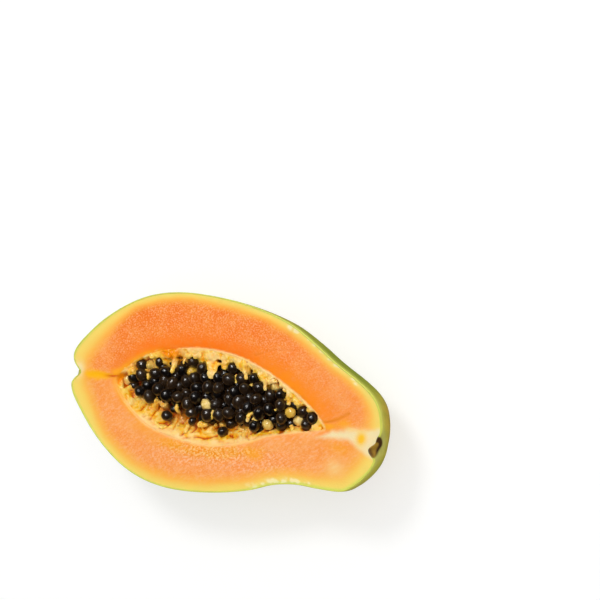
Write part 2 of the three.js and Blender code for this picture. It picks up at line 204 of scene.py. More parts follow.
def hollow_depth(angle, share):
    """Depth under the cut face, at a share of the way from the hollow's middle to its rim."""
    off = np.arctan2(np.sin(angle - SHALLOW_TOWARD), np.cos(angle - SHALLOW_TOWARD))
    steep = 1 - np.exp(-((off / SHALLOW_SPREAD) ** 4))
    shape = mix(SHALLOW_SIDE[0], STEEP_SIDE[0], steep)
    power = mix(SHALLOW_SIDE[1], STEEP_SIDE[1], steep)
    return HOLLOW_DEPTH * np.maximum(1 - share ** shape, 0) ** power


def hollow_place(x, y):
    """Direction and share of the way out, seen from the hollow's middle."""
    dx, dy = x - HOLLOW_MIDDLE[0], y - HOLLOW_MIDDLE[1]
    angle = np.arctan2(dy, dx)
    return angle, np.hypot(dx, dy) / hollow_reach(angle)


def floor_height(x, y):
    """Height of the hollow's floor as the seeds feel it: lifted by the ridges that they rest on."""
    angle, share = hollow_place(x, y)
    inside = CUT_Z - hollow_depth(angle, np.minimum(share, 1)) + FLOOR_LIFT
    return np.where(share >= 1, CUT_Z, inside)


print("hollow:", round(float(hollow_reach(0) + hollow_reach(math.pi))), "mm long")


# %% [markdown]
# ## Meshes and materials in code
# A mesh here is made from arrays of points and faces. Numbers that a material needs at each point,
# such as how deep it lies, are kept as named attributes on the mesh. One function adds a node with
# its settings and links, and one turns a hex colour to Blender's linear colour.

# %% Helpers for meshes
def make_piece(name, points_mm, faces, edges=()):
    """A smooth-shaded mesh object at the origin, from points in millimetres."""
    mesh = bpy.data.meshes.new(name)
    mesh.from_pydata((np.asarray(points_mm) * MM).tolist(), edges, [tuple(face) for face in faces])
    mesh.shade_smooth()
    mesh.validate()
    piece = bpy.data.objects.new(name, mesh)
    bpy.context.scene.collection.objects.link(piece)
    return piece


def keep_attributes(piece, **values_of):
    """Keeps a number for each point of a piece, under the name that a node reads it by."""
    for key, values in values_of.items():
        layer = piece.data.attributes.new(key, "FLOAT", "POINT")
        layer.data.foreach_set("value", np.asarray(values, np.float32))


def ring_faces(first, second, count):
    """Quads between two rings of points, given the index of each ring's first point."""
    here = np.arange(count)
    after = (here + 1) % count
    return np.stack([first + here, first + after, second + after, second + here], 1).tolist()


def cap_faces(first, middle, count):
    """Triangles from a ring of points to the point in its middle."""
    return [(first + k, first + (k + 1) % count, middle) for k in range(count)]


def turned_over(faces):
    return [face[::-1] for face in faces]


def vectors_of(mesh, kind):
    """A mesh's points ("co") or their normals ("normal"), one row for each."""
    flat = np.empty(len(mesh.vertices) * 3, np.float32)
    mesh.vertices.foreach_get(kind, flat)
    return flat.reshape(-1, 3)


def points_of(mesh):
    return vectors_of(mesh, "co") / MM


def flatten(piece):
    """Swaps a piece's mesh for its evaluated one, with no modifiers or empty material slots."""
    graph = bpy.context.evaluated_depsgraph_get()
    mesh = bpy.data.meshes.new_from_object(piece.evaluated_get(graph))
    for slot in reversed([k for k, finish in enumerate(mesh.materials) if finish is None]):
        mesh.materials.pop(index=slot)
    piece.modifiers.clear()
    piece.data = mesh
    return piece


# %% Helpers for materials
def linear(hex_colour):
    """An sRGB hex colour as linear RGBA."""
    parts = [int(hex_colour[k:k + 2], 16) / 255 for k in (1, 3, 5)]
    return [p / 12.92 if p <= 0.04045 else ((p + 0.055) / 1.055) ** 2.4 for p in parts] + [1.0]


def add_node(tree, kind, inputs=None, **settings):
    """Adds a node with its settings, and fills or links its inputs.

    Where an input is given a node, it is linked to that node's first output that is switched on.
    """
    node = tree.nodes.new(kind)
    for key, value in settings.items():
        setattr(node, key, value)
    for key, value in (inputs or {}).items():
        if isinstance(value, bpy.types.Node):
            value = next(socket for socket in value.outputs if socket.enabled)
        if isinstance(value, bpy.types.NodeSocket):
            tree.links.new(value, node.inputs[key])
            continue
        if isinstance(value, str) and value.startswith("#"):
            value = linear(value)
        node.inputs[key].default_value = value
    return node


def new_material(name):
    """An empty material, and a function that adds nodes to its tree."""
    material = bpy.data.materials.new(name)
    material.use_nodes = True
    material.node_tree.nodes.clear()
    return material, partial(add_node, material.node_tree)


def set_ramp(node, stops):
    """Colour stops of a ramp: (place, hex colour) pairs."""
    ramp = node.color_ramp
    while len(ramp.elements) < len(stops):
        ramp.elements.new(1)
    for element, (place, colour) in zip(ramp.elements, stops):
        element.position = place
        element.color = linear(colour)
    return node


# %% [markdown]
# ## Peel
# A papaya's peel is a thin waxy skin, half a millimetre thick. It is green until the fruit ripens,
# and then turns yellow from the sides, in large soft patches. A closed shell stands for it: its
# outer wall follows the rule for the back, its inner wall lies a peel's thickness further in, and
# its cut edge shows as the thin green line round the flesh.

# %% The peel's shell
PEEL_THICK = 0.6
CURVE_STEPS = 40
RIM_SAMPLES = 720
BACK_ROWS = 48


def grid_normals(rings):
    """Outward normals of a closed grid of rings."""
    around = np.roll(rings, -1, 1) - np.roll(rings, 1, 1)
    along = np.gradient(rings, axis=0)
    normals = np.cross(around, along)
    length = np.maximum(np.linalg.norm(normals, axis=2, keepdims=True), 1e-9)
    return normals / length


def even_samples(curve, count):
    """The same closed curve with its samples spread evenly along it."""
    closed = np.concatenate([curve, curve[:1]])
    length = np.concatenate([[0], np.cumsum(np.linalg.norm(np.diff(closed, axis=0), axis=1))])
    at = np.arange(count) / count * length[-1]
    return np.stack([np.interp(at, length, closed[:, k]) for k in (0, 1)], 1)


outline = even_samples(closed_curve(OUTLINE, CURVE_STEPS), RIM_SAMPLES)
turns = np.linspace(0, math.pi / 2, BACK_ROWS + 1)[:-1]
outer = np.stack([peel_points(outline, turn) for turn in turns])
peel_out = grid_normals(outer)
inner = outer - peel_out * PEEL_THICK
inner[0, :, 2] = CUT_Z
inner[:, :, 2] = np.clip(inner[:, :, 2], PEEL_THICK, CUT_Z)


def peel_shell():
    """The closed shell: both walls, the cut edge that joins them, and a pole in each at the belly."""
    rows, count = outer.shape[:2]
    poles = [[*BELLY, 0], [*BELLY, PEEL_THICK]]
    points = np.concatenate([outer.reshape(-1, 3), inner.reshape(-1, 3), poles])
    inside, last = rows * count, (rows - 1) * count
    faces = turned_over(ring_faces(0, inside, count))
    for row in range(0, last, count):
        faces += ring_faces(row, row + count, count)
        faces += turned_over(ring_faces(inside + row, inside + row + count, count))
    faces += cap_faces(last, 2 * inside, count)
    faces += turned_over(cap_faces(inside + last, 2 * inside + 1, count))
    return make_piece("peel", points, faces)


peel = peel_shell()
print("peel:", len(peel.data.polygons), "faces")

# %% [markdown]
# ## Seeds
# Ripe papaya seeds are round, five to six millimetres across, and each sits in a clear wet coat
# that wrinkles over the black seed. The seeds on top are placed one by one, as they are in the solids,
# and a rule finds how high each lies: just under the heap's top, or as low as the seeds on it press
# it. Three more layers lie under them, so that every gap between seeds shows more seeds. Their
# places are found first, because the soft flesh round them is shaped to hold them.

# %% The heap's sizes, in millimetres
HEAP = [
    (-57, -0.8), (-50, 8.2), (-38, 13.4), (-23, 17.4), (-12, 18.6), (0, 17.6), (12, 17.4),
    (24, 13.4), (35, 10), (45, 5), (53, -0.8), (50, -3.2), (36, -7.6), (21, -11.5), (6, -11.4),
    (-10, -15.2), (-22, -11.2), (-34, -9.2), (-48, -8.6), (-55, -5.6),
]
HEAP_MIDDLE = (-2, 2)
HEAP_CROWN = 1.6
HEAP_FALL = 2.8
SEED_RADIUS = (2.5, 2.95)
SEED_LONG = 1.12
SEED_FLAT = 0.94
SEED_CLEAR = 0.45
SEED_PRESS = 0.9
SEED_DRAW = 77
SEED_DIP = 1.5
SEED_PROUD = 0.8
SEED_SUNK = 1.2
SEED_SINK = 4
SMALL = 0.74

# %% Places of the seeds on top: x, y and sometimes a size
FRONT_SEEDS = [
    (-51.5, -0.5), (-48, 7), (-46.5, 2), (-45.5, -6), (-39.5, -7.5), (-38.5, 4.5), (-38, 10.5, SMALL),
    (-33, 6.5), (-35, -2.5), (-29.5, -4.5), (-23.5, -4), (-28, 2), (-25, 9), (-20, 14.5), (-17.5, 7),
    (-13.5, 12.5), (-11, 8.5), (-4, 10), (-8, 4.5), (-13.5, -2), (-17.5, -6), (-15.5, -10),
    (-14.5, -14, SMALL), (-6, -9), (20, -8.5), (0, -7.5), (2.5, 16), (2, 10.5), (8, 12), (6, 5), (11.5, 8),
    (3.5, 1), (9.5, 1), (14.5, -0.5), (5, -5.5), (12, -6.5), (14.5, 13.5), (18, 10), (18.5, 4.5),
    (24.5, 7.5), (30, 9.5), (31.5, 4.5), (21.5, -2), (26, 1), (33, -1.5), (33, -5.5), (42.5, 3.5),
    (48.5, 2), (45.5, -2),
]
BACK_SEEDS = [
    (-51.5, -4.5), (-42.5, -2.5), (-39, 0.5), (-33.5, 2), (-29.5, -1.5), (-21.5, 4.5), (-14.5, 2.5),
    (-2.5, 5.5), (-20, -1.5), (-3, -3), (-12, -7), (-8.5, -0.5), (-4, 2), (14, 4.5), (6.5, -2),
    (10.5, -3.5), (28, -3.5), (38, 6, SMALL),
]
PALES = [
    (-55, -2.3), (-44, 8), (-20, 9.5), (-7.5, -4), (26, -6.5), (25.5, 12.5), (37, 2), (41, -1),
]
STRAYS = [(3.6, -15.2), (-27.5, -14.5), (-27, -10.8, SMALL)]
STRAY_SUNK = 1.4
STRAY_RADIUS = 2.75
print("placed by hand:", len(FRONT_SEEDS + BACK_SEEDS), "ripe,", len(PALES), "pale,", len(STRAYS), "stray")

# %% The heap's own form
heap_reach = reach_of(HEAP, HEAP_MIDDLE)


def heap_share(x, y):
    """Share of the way from the heap's middle to its edge."""
    dx, dy = x - HEAP_MIDDLE[0], y - HEAP_MIDDLE[1]
    return math.hypot(dx, dy) / float(heap_reach(math.atan2(dy, dx)))


def heap_top(share):
    return CUT_Z + HEAP_CROWN - HEAP_FALL * share ** 3


print("heap:", round(float(heap_reach(0) + heap_reach(math.pi))), "mm long")


# %% Random numbers that every program draws alike
def drawer(seed):
    """Random numbers from 0 to 1, the same ones on every machine."""
    state = seed
    word = 0xFFFFFFFF

    def draw():
        nonlocal state
        state = (state + 0x6D2B79F5) & word
        t = ((state ^ (state >> 15)) * (1 | state)) & word
        t = ((t + ((t ^ (t >> 7)) * (61 | t))) & word) ^ t
        return (t ^ (t >> 14)) / 4294967296

    return draw


# %% The rule that lays the seeds
FEEL = np.array([(0, 0)] + [(s * math.cos(k * math.pi / 5), s * math.sin(k * math.pi / 5))
                            for s in (0.4, 0.75, 0.97) for k in range(10)])
FEEL_RISE = np.sqrt(1 - (FEEL ** 2).sum(1))


def wall_height(x, y, radius):
    """How high a ball's middle has to lie to keep clear of the hollow's wall all round."""
    reach = radius + SEED_CLEAR
    floor = floor_height(x + reach * FEEL[:, 0], y + reach * FEEL[:, 1])
    return float((floor + reach * FEEL_RISE).max())


def lay_seeds(spots, laid, draw):
    """Seeds at the spots, each just under the heap's top or pressed down by those on it."""
    rows = []
    for x, y, *size in spots:
        radius = (size[0] if size else 1) * mix(*SEED_RADIUS, draw())
        crown = heap_top(min(heap_share(x, y), 1)) - radius
        wall = min(wall_height(x, y, radius) - SEED_SUNK, crown + SEED_PROUD)
        z = max(crown - SEED_DIP * draw(), wall)
        for sx, sy, sz, reach, *_ in laid:
            near = (SEED_PRESS * (radius + reach)) ** 2 - (x - sx) ** 2 - (y - sy) ** 2
            if near > 0:
                z = min(z, max(sz - math.sqrt(near), crown - SEED_SINK))
        laid.append((x, y, z, radius, (draw() * 6, draw() * 6, draw() * 6)))
        rows.append(laid[-1])
    return rows


def stray_at(index, x, y, size=1):
    """A seed that lies by itself on the hollow's wall."""
    radius = size * STRAY_RADIUS
    return x, y, wall_height(x, y, radius) - STRAY_SUNK, radius, (index, 2 * index, 0.7 * index)


# %% Seeds under the top ones
DEEP_PITCH = 3.9
DEEP_ACROSS = ((-56, 54), (-15, 19))
DEEP_LAYERS = (3.6, 6.6, 9.6)
DEEP_RADIUS = 2.6
DEEP_PRESS = 0.76
DEEP_OFF, DEEP_OFF_DOWN = 1, 0.7
DEEP_EDGE = 0.97
DEEP_SUNK = 2.5


def deep_seeds(laid):
    """Seeds in rough layers under the top ones, wherever those and the wall leave room."""
    rng = np.random.default_rng(SEED_DRAW)
    placed = list(laid)
    columns, rows = (np.arange(*span, DEEP_PITCH) for span in DEEP_ACROSS)
    for layer, x, y in product(DEEP_LAYERS, columns, rows):
        px, py = x + rng.uniform(-DEEP_OFF, DEEP_OFF), y + rng.uniform(-DEEP_OFF, DEEP_OFF)
        share = heap_share(px, py)
        z = heap_top(share) - DEEP_RADIUS - layer + rng.uniform(-DEEP_OFF_DOWN, DEEP_OFF_DOWN)
        clear = all(math.dist((px, py, z), seed[:3]) > DEEP_PRESS * (DEEP_RADIUS + seed[3])
                    for seed in placed)
        if share < DEEP_EDGE and clear and z > wall_height(px, py, DEEP_RADIUS) - DEEP_SUNK:
            placed.append((px, py, z, DEEP_RADIUS, tuple(rng.uniform(0, 6, 3))))
    return placed[len(laid):]


# %% Lay all the seeds
PALE_STEP = 0.8
PALE_BESIDE = 1.1


def beside_pales(seeds):
    """Lowers the ripe seeds that lie against a pale one, so that it shows between them."""
    rows = []
    for x, y, z, radius, turn in seeds:
        for px, py, pz, reach, *_ in pales:
            if math.dist((x, y), (px, py)) < PALE_BESIDE * (radius + reach):
                z = min(z, pz + PALE_STEP)
        rows.append((x, y, z, radius, turn))
    return rows


draw = drawer(SEED_DRAW)
laid = []
front = lay_seeds(FRONT_SEEDS, laid, draw)
pales = lay_seeds(PALES, laid, draw)
back = lay_seeds(BACK_SEEDS, laid, draw)
front, back = beside_pales(front), beside_pales(back)
ripe = front + back
strays = [stray_at(index, *spot) for index, spot in enumerate(STRAYS)]
deep = deep_seeds(ripe + pales + strays)
print("seeds:", len(ripe), "on top,", len(deep), "under them")
for index, seed in enumerate(pales):
    low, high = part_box(f"pale_seed_{index + 1}")
    off = max(abs((low[k] + high[k]) / 2 / MM - seed[k]) for k in range(3))
    print("pale seed", index + 1, "lies", round(off, 2), "mm from its solid's middle")

# %% [markdown]
# ## Making seeds with Geometry Nodes
# Each seed is the same low sphere, instanced on a point that carries its size and turn, and made
# real. Then noise in the object's own space dents and wrinkles them, so that no two are alike
# though they came from one shape. The hidden ones are made with fewer sides. A tree of nodes says
# what to make. A modifier runs it on a piece, and the result is kept as the piece's plain mesh.

# %% Helpers for trees of Geometry Nodes
def new_tree(name, numbers):
    """A tree that takes a shape, named numbers and a material, and a function that adds nodes."""
    tree = bpy.data.node_groups.new(name, "GeometryNodeTree")
    new_socket = tree.interface.new_socket
    new_socket("Geometry", in_out="INPUT", socket_type="NodeSocketGeometry")
    for key, (kind, value) in numbers.items():
        new_socket(key, in_out="INPUT", socket_type=kind).default_value = value
    new_socket("Material", in_out="INPUT", socket_type="NodeSocketMaterial")
    new_socket("Geometry", in_out="OUTPUT", socket_type="NodeSocketGeometry")
    return tree, partial(add_node, tree)


def socket_id(tree, name):
    return next(item.identifier for item in tree.interface.items_tree
                if item.item_type == "SOCKET" and item.in_out == "INPUT" and item.name == name)


def run_nodes(piece, tree, values):
    """Runs a tree on a piece and keeps the result as its plain mesh."""
    modifier = piece.modifiers.new("nodes", "NODES")
    modifier.node_group = tree
    for name, value in values.items():
        modifier[socket_id(tree, name)] = value
    piece.update_tag()
    return flatten(piece)


# %% A tree that turns points into seeds
def seed_tree():
    tree, add = new_tree("seeds_on_points", {
        "Dent depth": ("NodeSocketFloat", 0.5 * MM), "Dent size": ("NodeSocketFloat", 3 * MM),
        "Sides": ("NodeSocketInt", 16), "Rings": ("NodeSocketInt", 10)})
    given = add("NodeGroupInput").outputs
    ball = add("GeometryNodeMeshUVSphere", {
        "Segments": given["Sides"], "Rings": given["Rings"], "Radius": 1.0})
    size = add("GeometryNodeInputNamedAttribute", {"Name": "size"}, data_type="FLOAT_VECTOR")
    turn = add("GeometryNodeInputNamedAttribute", {"Name": "turn"}, data_type="FLOAT_VECTOR")
    turned = add("FunctionNodeEulerToRotation", {"Euler": turn})
    placed = add("GeometryNodeInstanceOnPoints", {
        "Points": given["Geometry"], "Instance": ball, "Rotation": turned, "Scale": size})
    real = add("GeometryNodeRealizeInstances", {"Geometry": placed})
    often = add("ShaderNodeMath", {0: 1.0, 1: given["Dent size"]}, operation="DIVIDE")
    dents = add("ShaderNodeTexNoise", {"Scale": often, "Detail": 2.0, "Roughness": 0.55})
    level = add("ShaderNodeMath", {0: dents, 1: 0.5}, operation="SUBTRACT")
    deep = add("ShaderNodeMath", {0: level, 1: given["Dent depth"]}, operation="MULTIPLY")
    normal = add("GeometryNodeInputNormal")
    offset = add("ShaderNodeVectorMath", {0: normal, "Scale": deep}, operation="SCALE")
    moved = add("GeometryNodeSetPosition", {"Geometry": real, "Offset": offset})
    smooth = add("GeometryNodeSetShadeSmooth", {0: moved})
    painted = add("GeometryNodeSetMaterial", {"Geometry": smooth, "Material": given["Material"]})
    add("NodeGroupOutput", {"Geometry": painted})
    return tree


# %% One piece of seeds
TONE_DRAW = 7
seeds_on_points = seed_tree()


def seeds_piece(name, seeds, grow, finish, dent_mm, dent_size_mm=3, sides=20, rings=12):
    """One piece of seeds, each with its own place, turn, size and tone."""
    piece = make_piece(name, [seed[:3] for seed in seeds], [])
    sizes = [[seed[3] * share * grow * MM for share in (1, SEED_FLAT, SEED_LONG)] for seed in seeds]
    for key, rows in (("size", sizes), ("turn", [seed[4] for seed in seeds])):
        layer = piece.data.attributes.new(key, "FLOAT_VECTOR", "POINT")
        layer.data.foreach_set("vector", np.array(rows, np.float32).ravel())
    tones = np.random.default_rng(TONE_DRAW + abs(round(seeds[0][0] * 10)))
    keep_attributes(piece, tone=tones.random(len(seeds)))
    return run_nodes(piece, seeds_on_points, {
        "Dent depth": dent_mm * MM, "Dent size": dent_size_mm * MM,
        "Sides": sides, "Rings": rings, "Material": finish})


print("seed tree:", len(seeds_on_points.nodes), "nodes")

# %% [markdown]
# ## Flesh
# The flesh is one closed body: its underside lies in the peel, its top is the knife's cut, and in
# the middle it runs down into the hollow. A knife doesn't leave a perfect plane, so the cut face
# undulates by a fifth of a millimetre, dips along the seam that runs in from the blossom end, tears
# open on the side where the blade dragged, and rounds off where it meets the hollow. Near the rim
# the hollow's wall is hidden by a soft lining, a shelf that hangs in folds. Each point keeps masks
# from 0 to 1 that say how much of each kind of flesh it is, and the material gives each of them
# its colour.

# %% Places in the cut face, in millimetres
SEAM = [(-83, -4), (-80, -4), (-74, -3.6), (-67.9, -2.8), (-62.2, -2), (-57.5, -1)]
SEAM_DEPTH = 0.25
SEAM_WIDTH = (0.5, 1.2)
WEDGE_ABOVE = [
    (50.7, -6.8), (55.7, -5.1), (58.6, -3.2), (61.1, -1.3), (67, 0.2), (73.4, 1.5), (78.9, 3.1), (86, 6),
]
WEDGE_BELOW = [
    (50.7, -7.1), (55.7, -5.9), (61.9, -4.7), (69.7, -3.8), (72.7, -4.8), (75.1, -6.1), (79.7, -8.5),
    (86, -10),
]
BUD = (76.2, -1.6)
BUD_SIZE = (2.3, 3.1)
GLOWS = [((58.5, 0.4), (3.6, 1.7), 1.3), ((66, 3.2), (4.4, 2.4), 0.9), ((67, -8.6), (6, 3), 0.6),
         ((-37, -23), (8, 2.4), 0.45), ((-22, -27), (9, 2.4), 0.5),
         ((-58, 0.6), (4, 1.6), 1.1), ((24.5, -22), (4.5, 2.6), 0.8)]
CRACK = [(55.5, 1.2), (58.5, 2.2), (62.7, 4.3), (67.5, 8.4)]
SCRATCH = [(14, 24.5), (24, 29.5), (36, 32)]
TORN = ((6, -27), (40, 6.5), 0.14)
LATEX = [
    (29, 42.2), (33, 40.7), (40.4, 38), (43.5, 36.4), (48, 34), (52.4, 31.3), (54.6, 30), (57, 29),
    (61, 27.4), (66, 25), (68.5, 23), (31.7, -34.2), (35, -32.4), (38.6, -31.4), (42, -30.2),
    (45.6, -29.2), (49, -28.8), (54, -28.2),
]
LATEX_SIZE = (1.7, 0.8)
LATEX_POOLS = [
    ((26, -36.6), (4, 2.4)), ((37, -31.2), (5, 1.2)), ((46, -28.4), (4, 1)), ((31, 41), (2.6, 1.2)),
]
HALO = [((71, 1), (3.6, 1.6), 1.4), (BUD, (3.2, 4), 1.2), ((66, -18), (5, 4), 0.8)]
TIP_SPOT = ((-80.8, -2.6), (2.8, 3.4))

# %% Places in the soft lining, in millimetres
CREASES = [
    [(-48.8, -7.5), (-47.3, -12), (-46.6, -15.6)], [(-40.6, -9), (-41, -11.4), (-42.2, -14.8)],
    [(-37.9, -9.4), (-38.6, -14), (-39.4, -17.4)], [(-34.6, -9), (-35.2, -13), (-35.8, -18)],
    [(-33, -20.6), (-30.6, -18.8), (-28.2, -17.9), (-26, -18.4)],
    [(-30, -22.4), (-28.6, -20.6), (-27.4, -20.2)],
    [(-22.6, -14.4), (-22, -17.4), (-22.2, -21)], [(-17.4, -17), (-16.6, -19.6), (-17, -22)],
    [(-12.6, -15.4), (-11.6, -17), (-12.4, -19.4)],
    [(-15.4, -22.9), (-12, -21.7), (-8.8, -20.6), (-5, -20.3)],
    [(-4, -19.6), (-1, -19), (1, -17.8)], [(8.2, -19.6), (11, -19.3), (13.4, -18.2)],
    [(7.4, -15.2), (9.6, -16.4)], [(-30.6, -9.8), (-31.2, -13)],
    [(-51.8, -9), (-49.6, -14.4), (-45, -18.2), (-39.6, -20.4)],
    [(16.8, -14), (19.4, -15.4)], [(-26, -13.6), (-26.4, -16)],
]
CREASE_DEEP, CREASE_WIDE = 1.0, 0.6
HOLE_DEEP = 2.4
HOLES = [((-26.8, 14.8), (1.4, 0.8)), ((-5, 18), (1.6, 0.9)), ((12.4, 16.6), (0.8, 1.7))]
BLUSHES = [((-31.9, 17), (5, 3.4), 1.9), ((-51.5, 5), (7, 2.2), 0.5), ((-57.4, -1.4), (2.2, 4), 1.2)]
print("creases:", len(CREASES), "holes:", len(HOLES))


# %% Distances, spots and noise
class Near:
    """Distances of points from a closed curve."""

    def __init__(self, curve):
        self.tree = KDTree(len(curve))
        for index, sample in enumerate(curve):
            self.tree.insert((*sample, 0), index)
        self.tree.balance()

    def __call__(self, flat):
        return np.array([self.tree.find((x, y, 0))[2] for x, y in np.atleast_2d(flat)])


def line_distance(flat, line):
    """Distance of each point from a polyline, and how far along it the nearest place is."""
    best, along = np.full(len(flat), 1e9), np.zeros(len(flat))
    for step, (start, end) in enumerate(zip(line, line[1:])):
        a, b = np.array(start), np.array(end)
        share = np.clip(((flat - a) @ (b - a)) / ((b - a) @ (b - a)), 0, 1)
        away = np.linalg.norm(flat - a - share[:, None] * (b - a), axis=1)
        along = np.where(away < best, (step + share) / (len(line) - 1), along)
        best = np.minimum(best, away)
    return best, along


def lumps(points, size_mm, seed, octaves=4):
    """Fractal noise from about -1 to 1 at each point, with blotches of about size_mm."""
    shifted = np.asarray(points) / size_mm + np.array([1, 1.7, 2.3]) * seed
    return np.array([noise.fractal(Vector(p), 1.0, 2.0, octaves) for p in shifted])


def spot_at(flat, centre, size):
    """A smooth spot, 1 in its centre, that fades out over its size."""
    off = (flat - np.array(centre)) / np.array(size)
    return np.exp(-(off ** 2).sum(1))


def spots_at(flat, spots):
    """Several spots together, each given by its centre, its size and how strong it is."""
    return sum(power * spot_at(flat, centre, size) for centre, size, power in spots)


def line_at(flat, line, width):
    """1 on a line, and fading out beside it over its width."""
    return np.exp(-((line_distance(flat, line)[0] / width) ** 2))


from_rim = Near(closed_curve(HOLLOW, CURVE_STEPS))
from_peel = Near(closed_curve(OUTLINE, CURVE_STEPS))

# %% The soft lining's own surface
LIP = (0.3, 0.2)
LIP_ROUND = 0.6
SHELF_SLOPE = (0.4, 0.16)
SHELF_BEND = (0.045, 0.07)
RIGHT_DROP = 1.4
RIGHT_SPAN = (16, 30, 44, 51)
SEAT = 0.1
SEAT_REACH = 0.9
SEAT_RISE = (7, 2.4)
SEAT_TURN = (-2, 1)
FAR_SIDE = (-2, 4)


def seat_height(flat):
    """How high the lining may reach beside each seed that shows, which it holds from below."""
    top = np.full(len(flat), 99.0)
    for x, y, z, radius, _ in front + pales:
        away = np.hypot(flat[:, 0] - x, flat[:, 1] - y)
        rise = mix(*SEAT_RISE, smoothstep(flat[:, 0] - x, *SEAT_TURN))
        beside = np.maximum(away - SEAT_REACH * radius, 0)
        top = np.minimum(top, z - SEAT * radius + rise * beside)
    return top


def lining_height(flat):
    """Height of the lining, which fills in the steep wall near the rim."""
    flat = np.atleast_2d(flat)
    angle, share = hollow_place(flat[:, 0], flat[:, 1])
    inward = from_rim(flat) * (share < 1)
    far = smoothstep(flat[:, 1], *FAR_SIDE)
    start, full, fading, end = RIGHT_SPAN
    right = smoothstep(flat[:, 0], start, full) * (1 - smoothstep(flat[:, 0], fading, end))
    drop = mix(*SHELF_SLOPE, far) + RIGHT_DROP * right * (1 - far)
    shelf = mix(*LIP, far) * (1 - np.exp(-inward / LIP_ROUND)) + drop * inward
    shelf = np.maximum(shelf + mix(*SHELF_BEND, far) * inward ** 2, CUT_Z - seat_height(flat))
    return CUT_Z - np.minimum(hollow_depth(angle, np.minimum(share, 1)), shelf)


# %% The flesh's grid
FACE_ROWS = 54
WALL_ROWS = 58
UNDER_ROWS = 14
WALL_CROWD = 0.8
FLESH_GAP = (0.03, 0.9)


def flesh_rings():
    """Closed rings of points: up in the peel, in across the cut face, and down the hollow's wall."""
    edge = inner[0, :, :2]
    angle, _ = hollow_place(edge[:, 0], edge[:, 1])
    out = np.stack([np.cos(angle), np.sin(angle)], 1)
    rim = HOLLOW_MIDDLE + hollow_reach(angle)[:, None] * out
    shares = 0.5 - 0.5 * np.cos(np.linspace(0, math.pi, FACE_ROWS + 1))
    face = edge[None] + (rim - edge)[None] * shares[:, None, None]
    face = np.concatenate([face, np.full(face.shape[:2] + (1,), CUT_Z)], 2)
    wall = []
    for share in np.linspace(1, 0, WALL_ROWS + 1)[1:-1] ** WALL_CROWD:
        flat = HOLLOW_MIDDLE + (rim - HOLLOW_MIDDLE) * share
        wall.append(np.concatenate([flat, lining_height(flat)[:, None]], 1))
    steps = np.unique(np.linspace(1, len(turns) - 1, UNDER_ROWS).round().astype(int))
    gap = mix(*FLESH_GAP, np.minimum(np.arange(len(steps)), 2) / 2)
    under = inner[steps] - peel_out[steps] * gap[:, None, None]
    return under[::-1], face, np.array(wall)


# %% What the knife left on the cut face
RIDGE_SIZE, RIDGE_DEEP = 1.3, 0.24
CUT_WAVE_SIZE, CUT_WAVE = 14, 0.25
CRACK_DEEP, CRACK_WIDE = 0.4, 0.5
SCRATCH_DEEP, SCRATCH_WIDE = 0.2, 0.4
EDGE_DROP, EDGE_ROUND = 0.45, 0.6


def torn_share(flat):
    """How much the blade has torn the flesh open, in a long patch below the hollow."""
    centre, size, turn = TORN
    x, y = (flat - np.array(centre)).T
    along, across = x * math.cos(turn) + y * math.sin(turn), y * math.cos(turn) - x * math.sin(turn)
    return np.exp(-((along / size[0]) ** 4) - (across / size[1]) ** 4)


def cut_relief(points):
    """How far each point of the cut face lies under the knife's plane."""
    flat = points[:, :2]
    drag = points * np.array([0.7, 1, 1]) - np.array([0, 0.5, 0]) * points[:, [0]]
    ridges = 1 - np.abs(lumps(drag, RIDGE_SIZE, 4, 3))
    to_seam, along = line_distance(flat, SEAM)
    seam = np.exp(-((to_seam / mix(*SEAM_WIDTH, 1 - along)) ** 1.5))
    relief = CUT_WAVE * (0.5 + 0.5 * lumps(points, CUT_WAVE_SIZE, 3))
    relief += SEAM_DEPTH * (0.5 + 0.5 * along) * seam
    relief += CRACK_DEEP * line_at(flat, CRACK, CRACK_WIDE)
    relief += SCRATCH_DEEP * line_at(flat, SCRATCH, SCRATCH_WIDE)
    relief += EDGE_DROP * np.exp(-from_rim(flat) / EDGE_ROUND)
    return relief + torn_share(flat) * RIDGE_DEEP * (1 - smoothstep(ridges, 0.45, 0.95))


# %% The lining's pale band and its folds
def between(flat, above, below):
    """How far a point lies inside the strip between two lines, in millimetres; less than 0 outside."""
    x, y = flat.T
    high, low = (np.interp(x, *np.array(line).T) for line in (above, below))
    inside = np.minimum(high - y, y - low)
    return np.where(x > above[0][0], inside, -9)


def pale_band(flat, inward):
    """The smooth pale skin between the cut and the folds: wide below and on the upper right."""
    x, y = flat.T
    below = smoothstep(-y, 8, 14) * smoothstep(x, -46, -34)
    above = smoothstep(x, -30, -16) * smoothstep(y, 2, 8)
    right = smoothstep(x, 24, 40) * smoothstep(y, -3, 3) + smoothstep(x, 14, 30) * smoothstep(-y, 2, 8)
    right = np.minimum(right, 1)
    left = smoothstep(-y, 4, 9) * smoothstep(-x, 30, 40)
    width = 0.5 + 2.6 * below + 0.8 * above + 0.4 * right + 0.5 * left
    width = width * (1 + 0.9 * lumps(np.c_[flat, 0 * x], 5, 17, 3))
    strength = 0.35 + 0.4 * np.maximum(np.maximum(below, right), above)
    strength *= 1 - 0.7 * smoothstep(-x, 30, 42) * smoothstep(y, 0, 6)
    strength *= 1 - smoothstep(-x, 45, 54)
    return strength * smoothstep(inward, -0.9, 0.3) * (1 - smoothstep(inward, width * 0.4, width * 1.7))


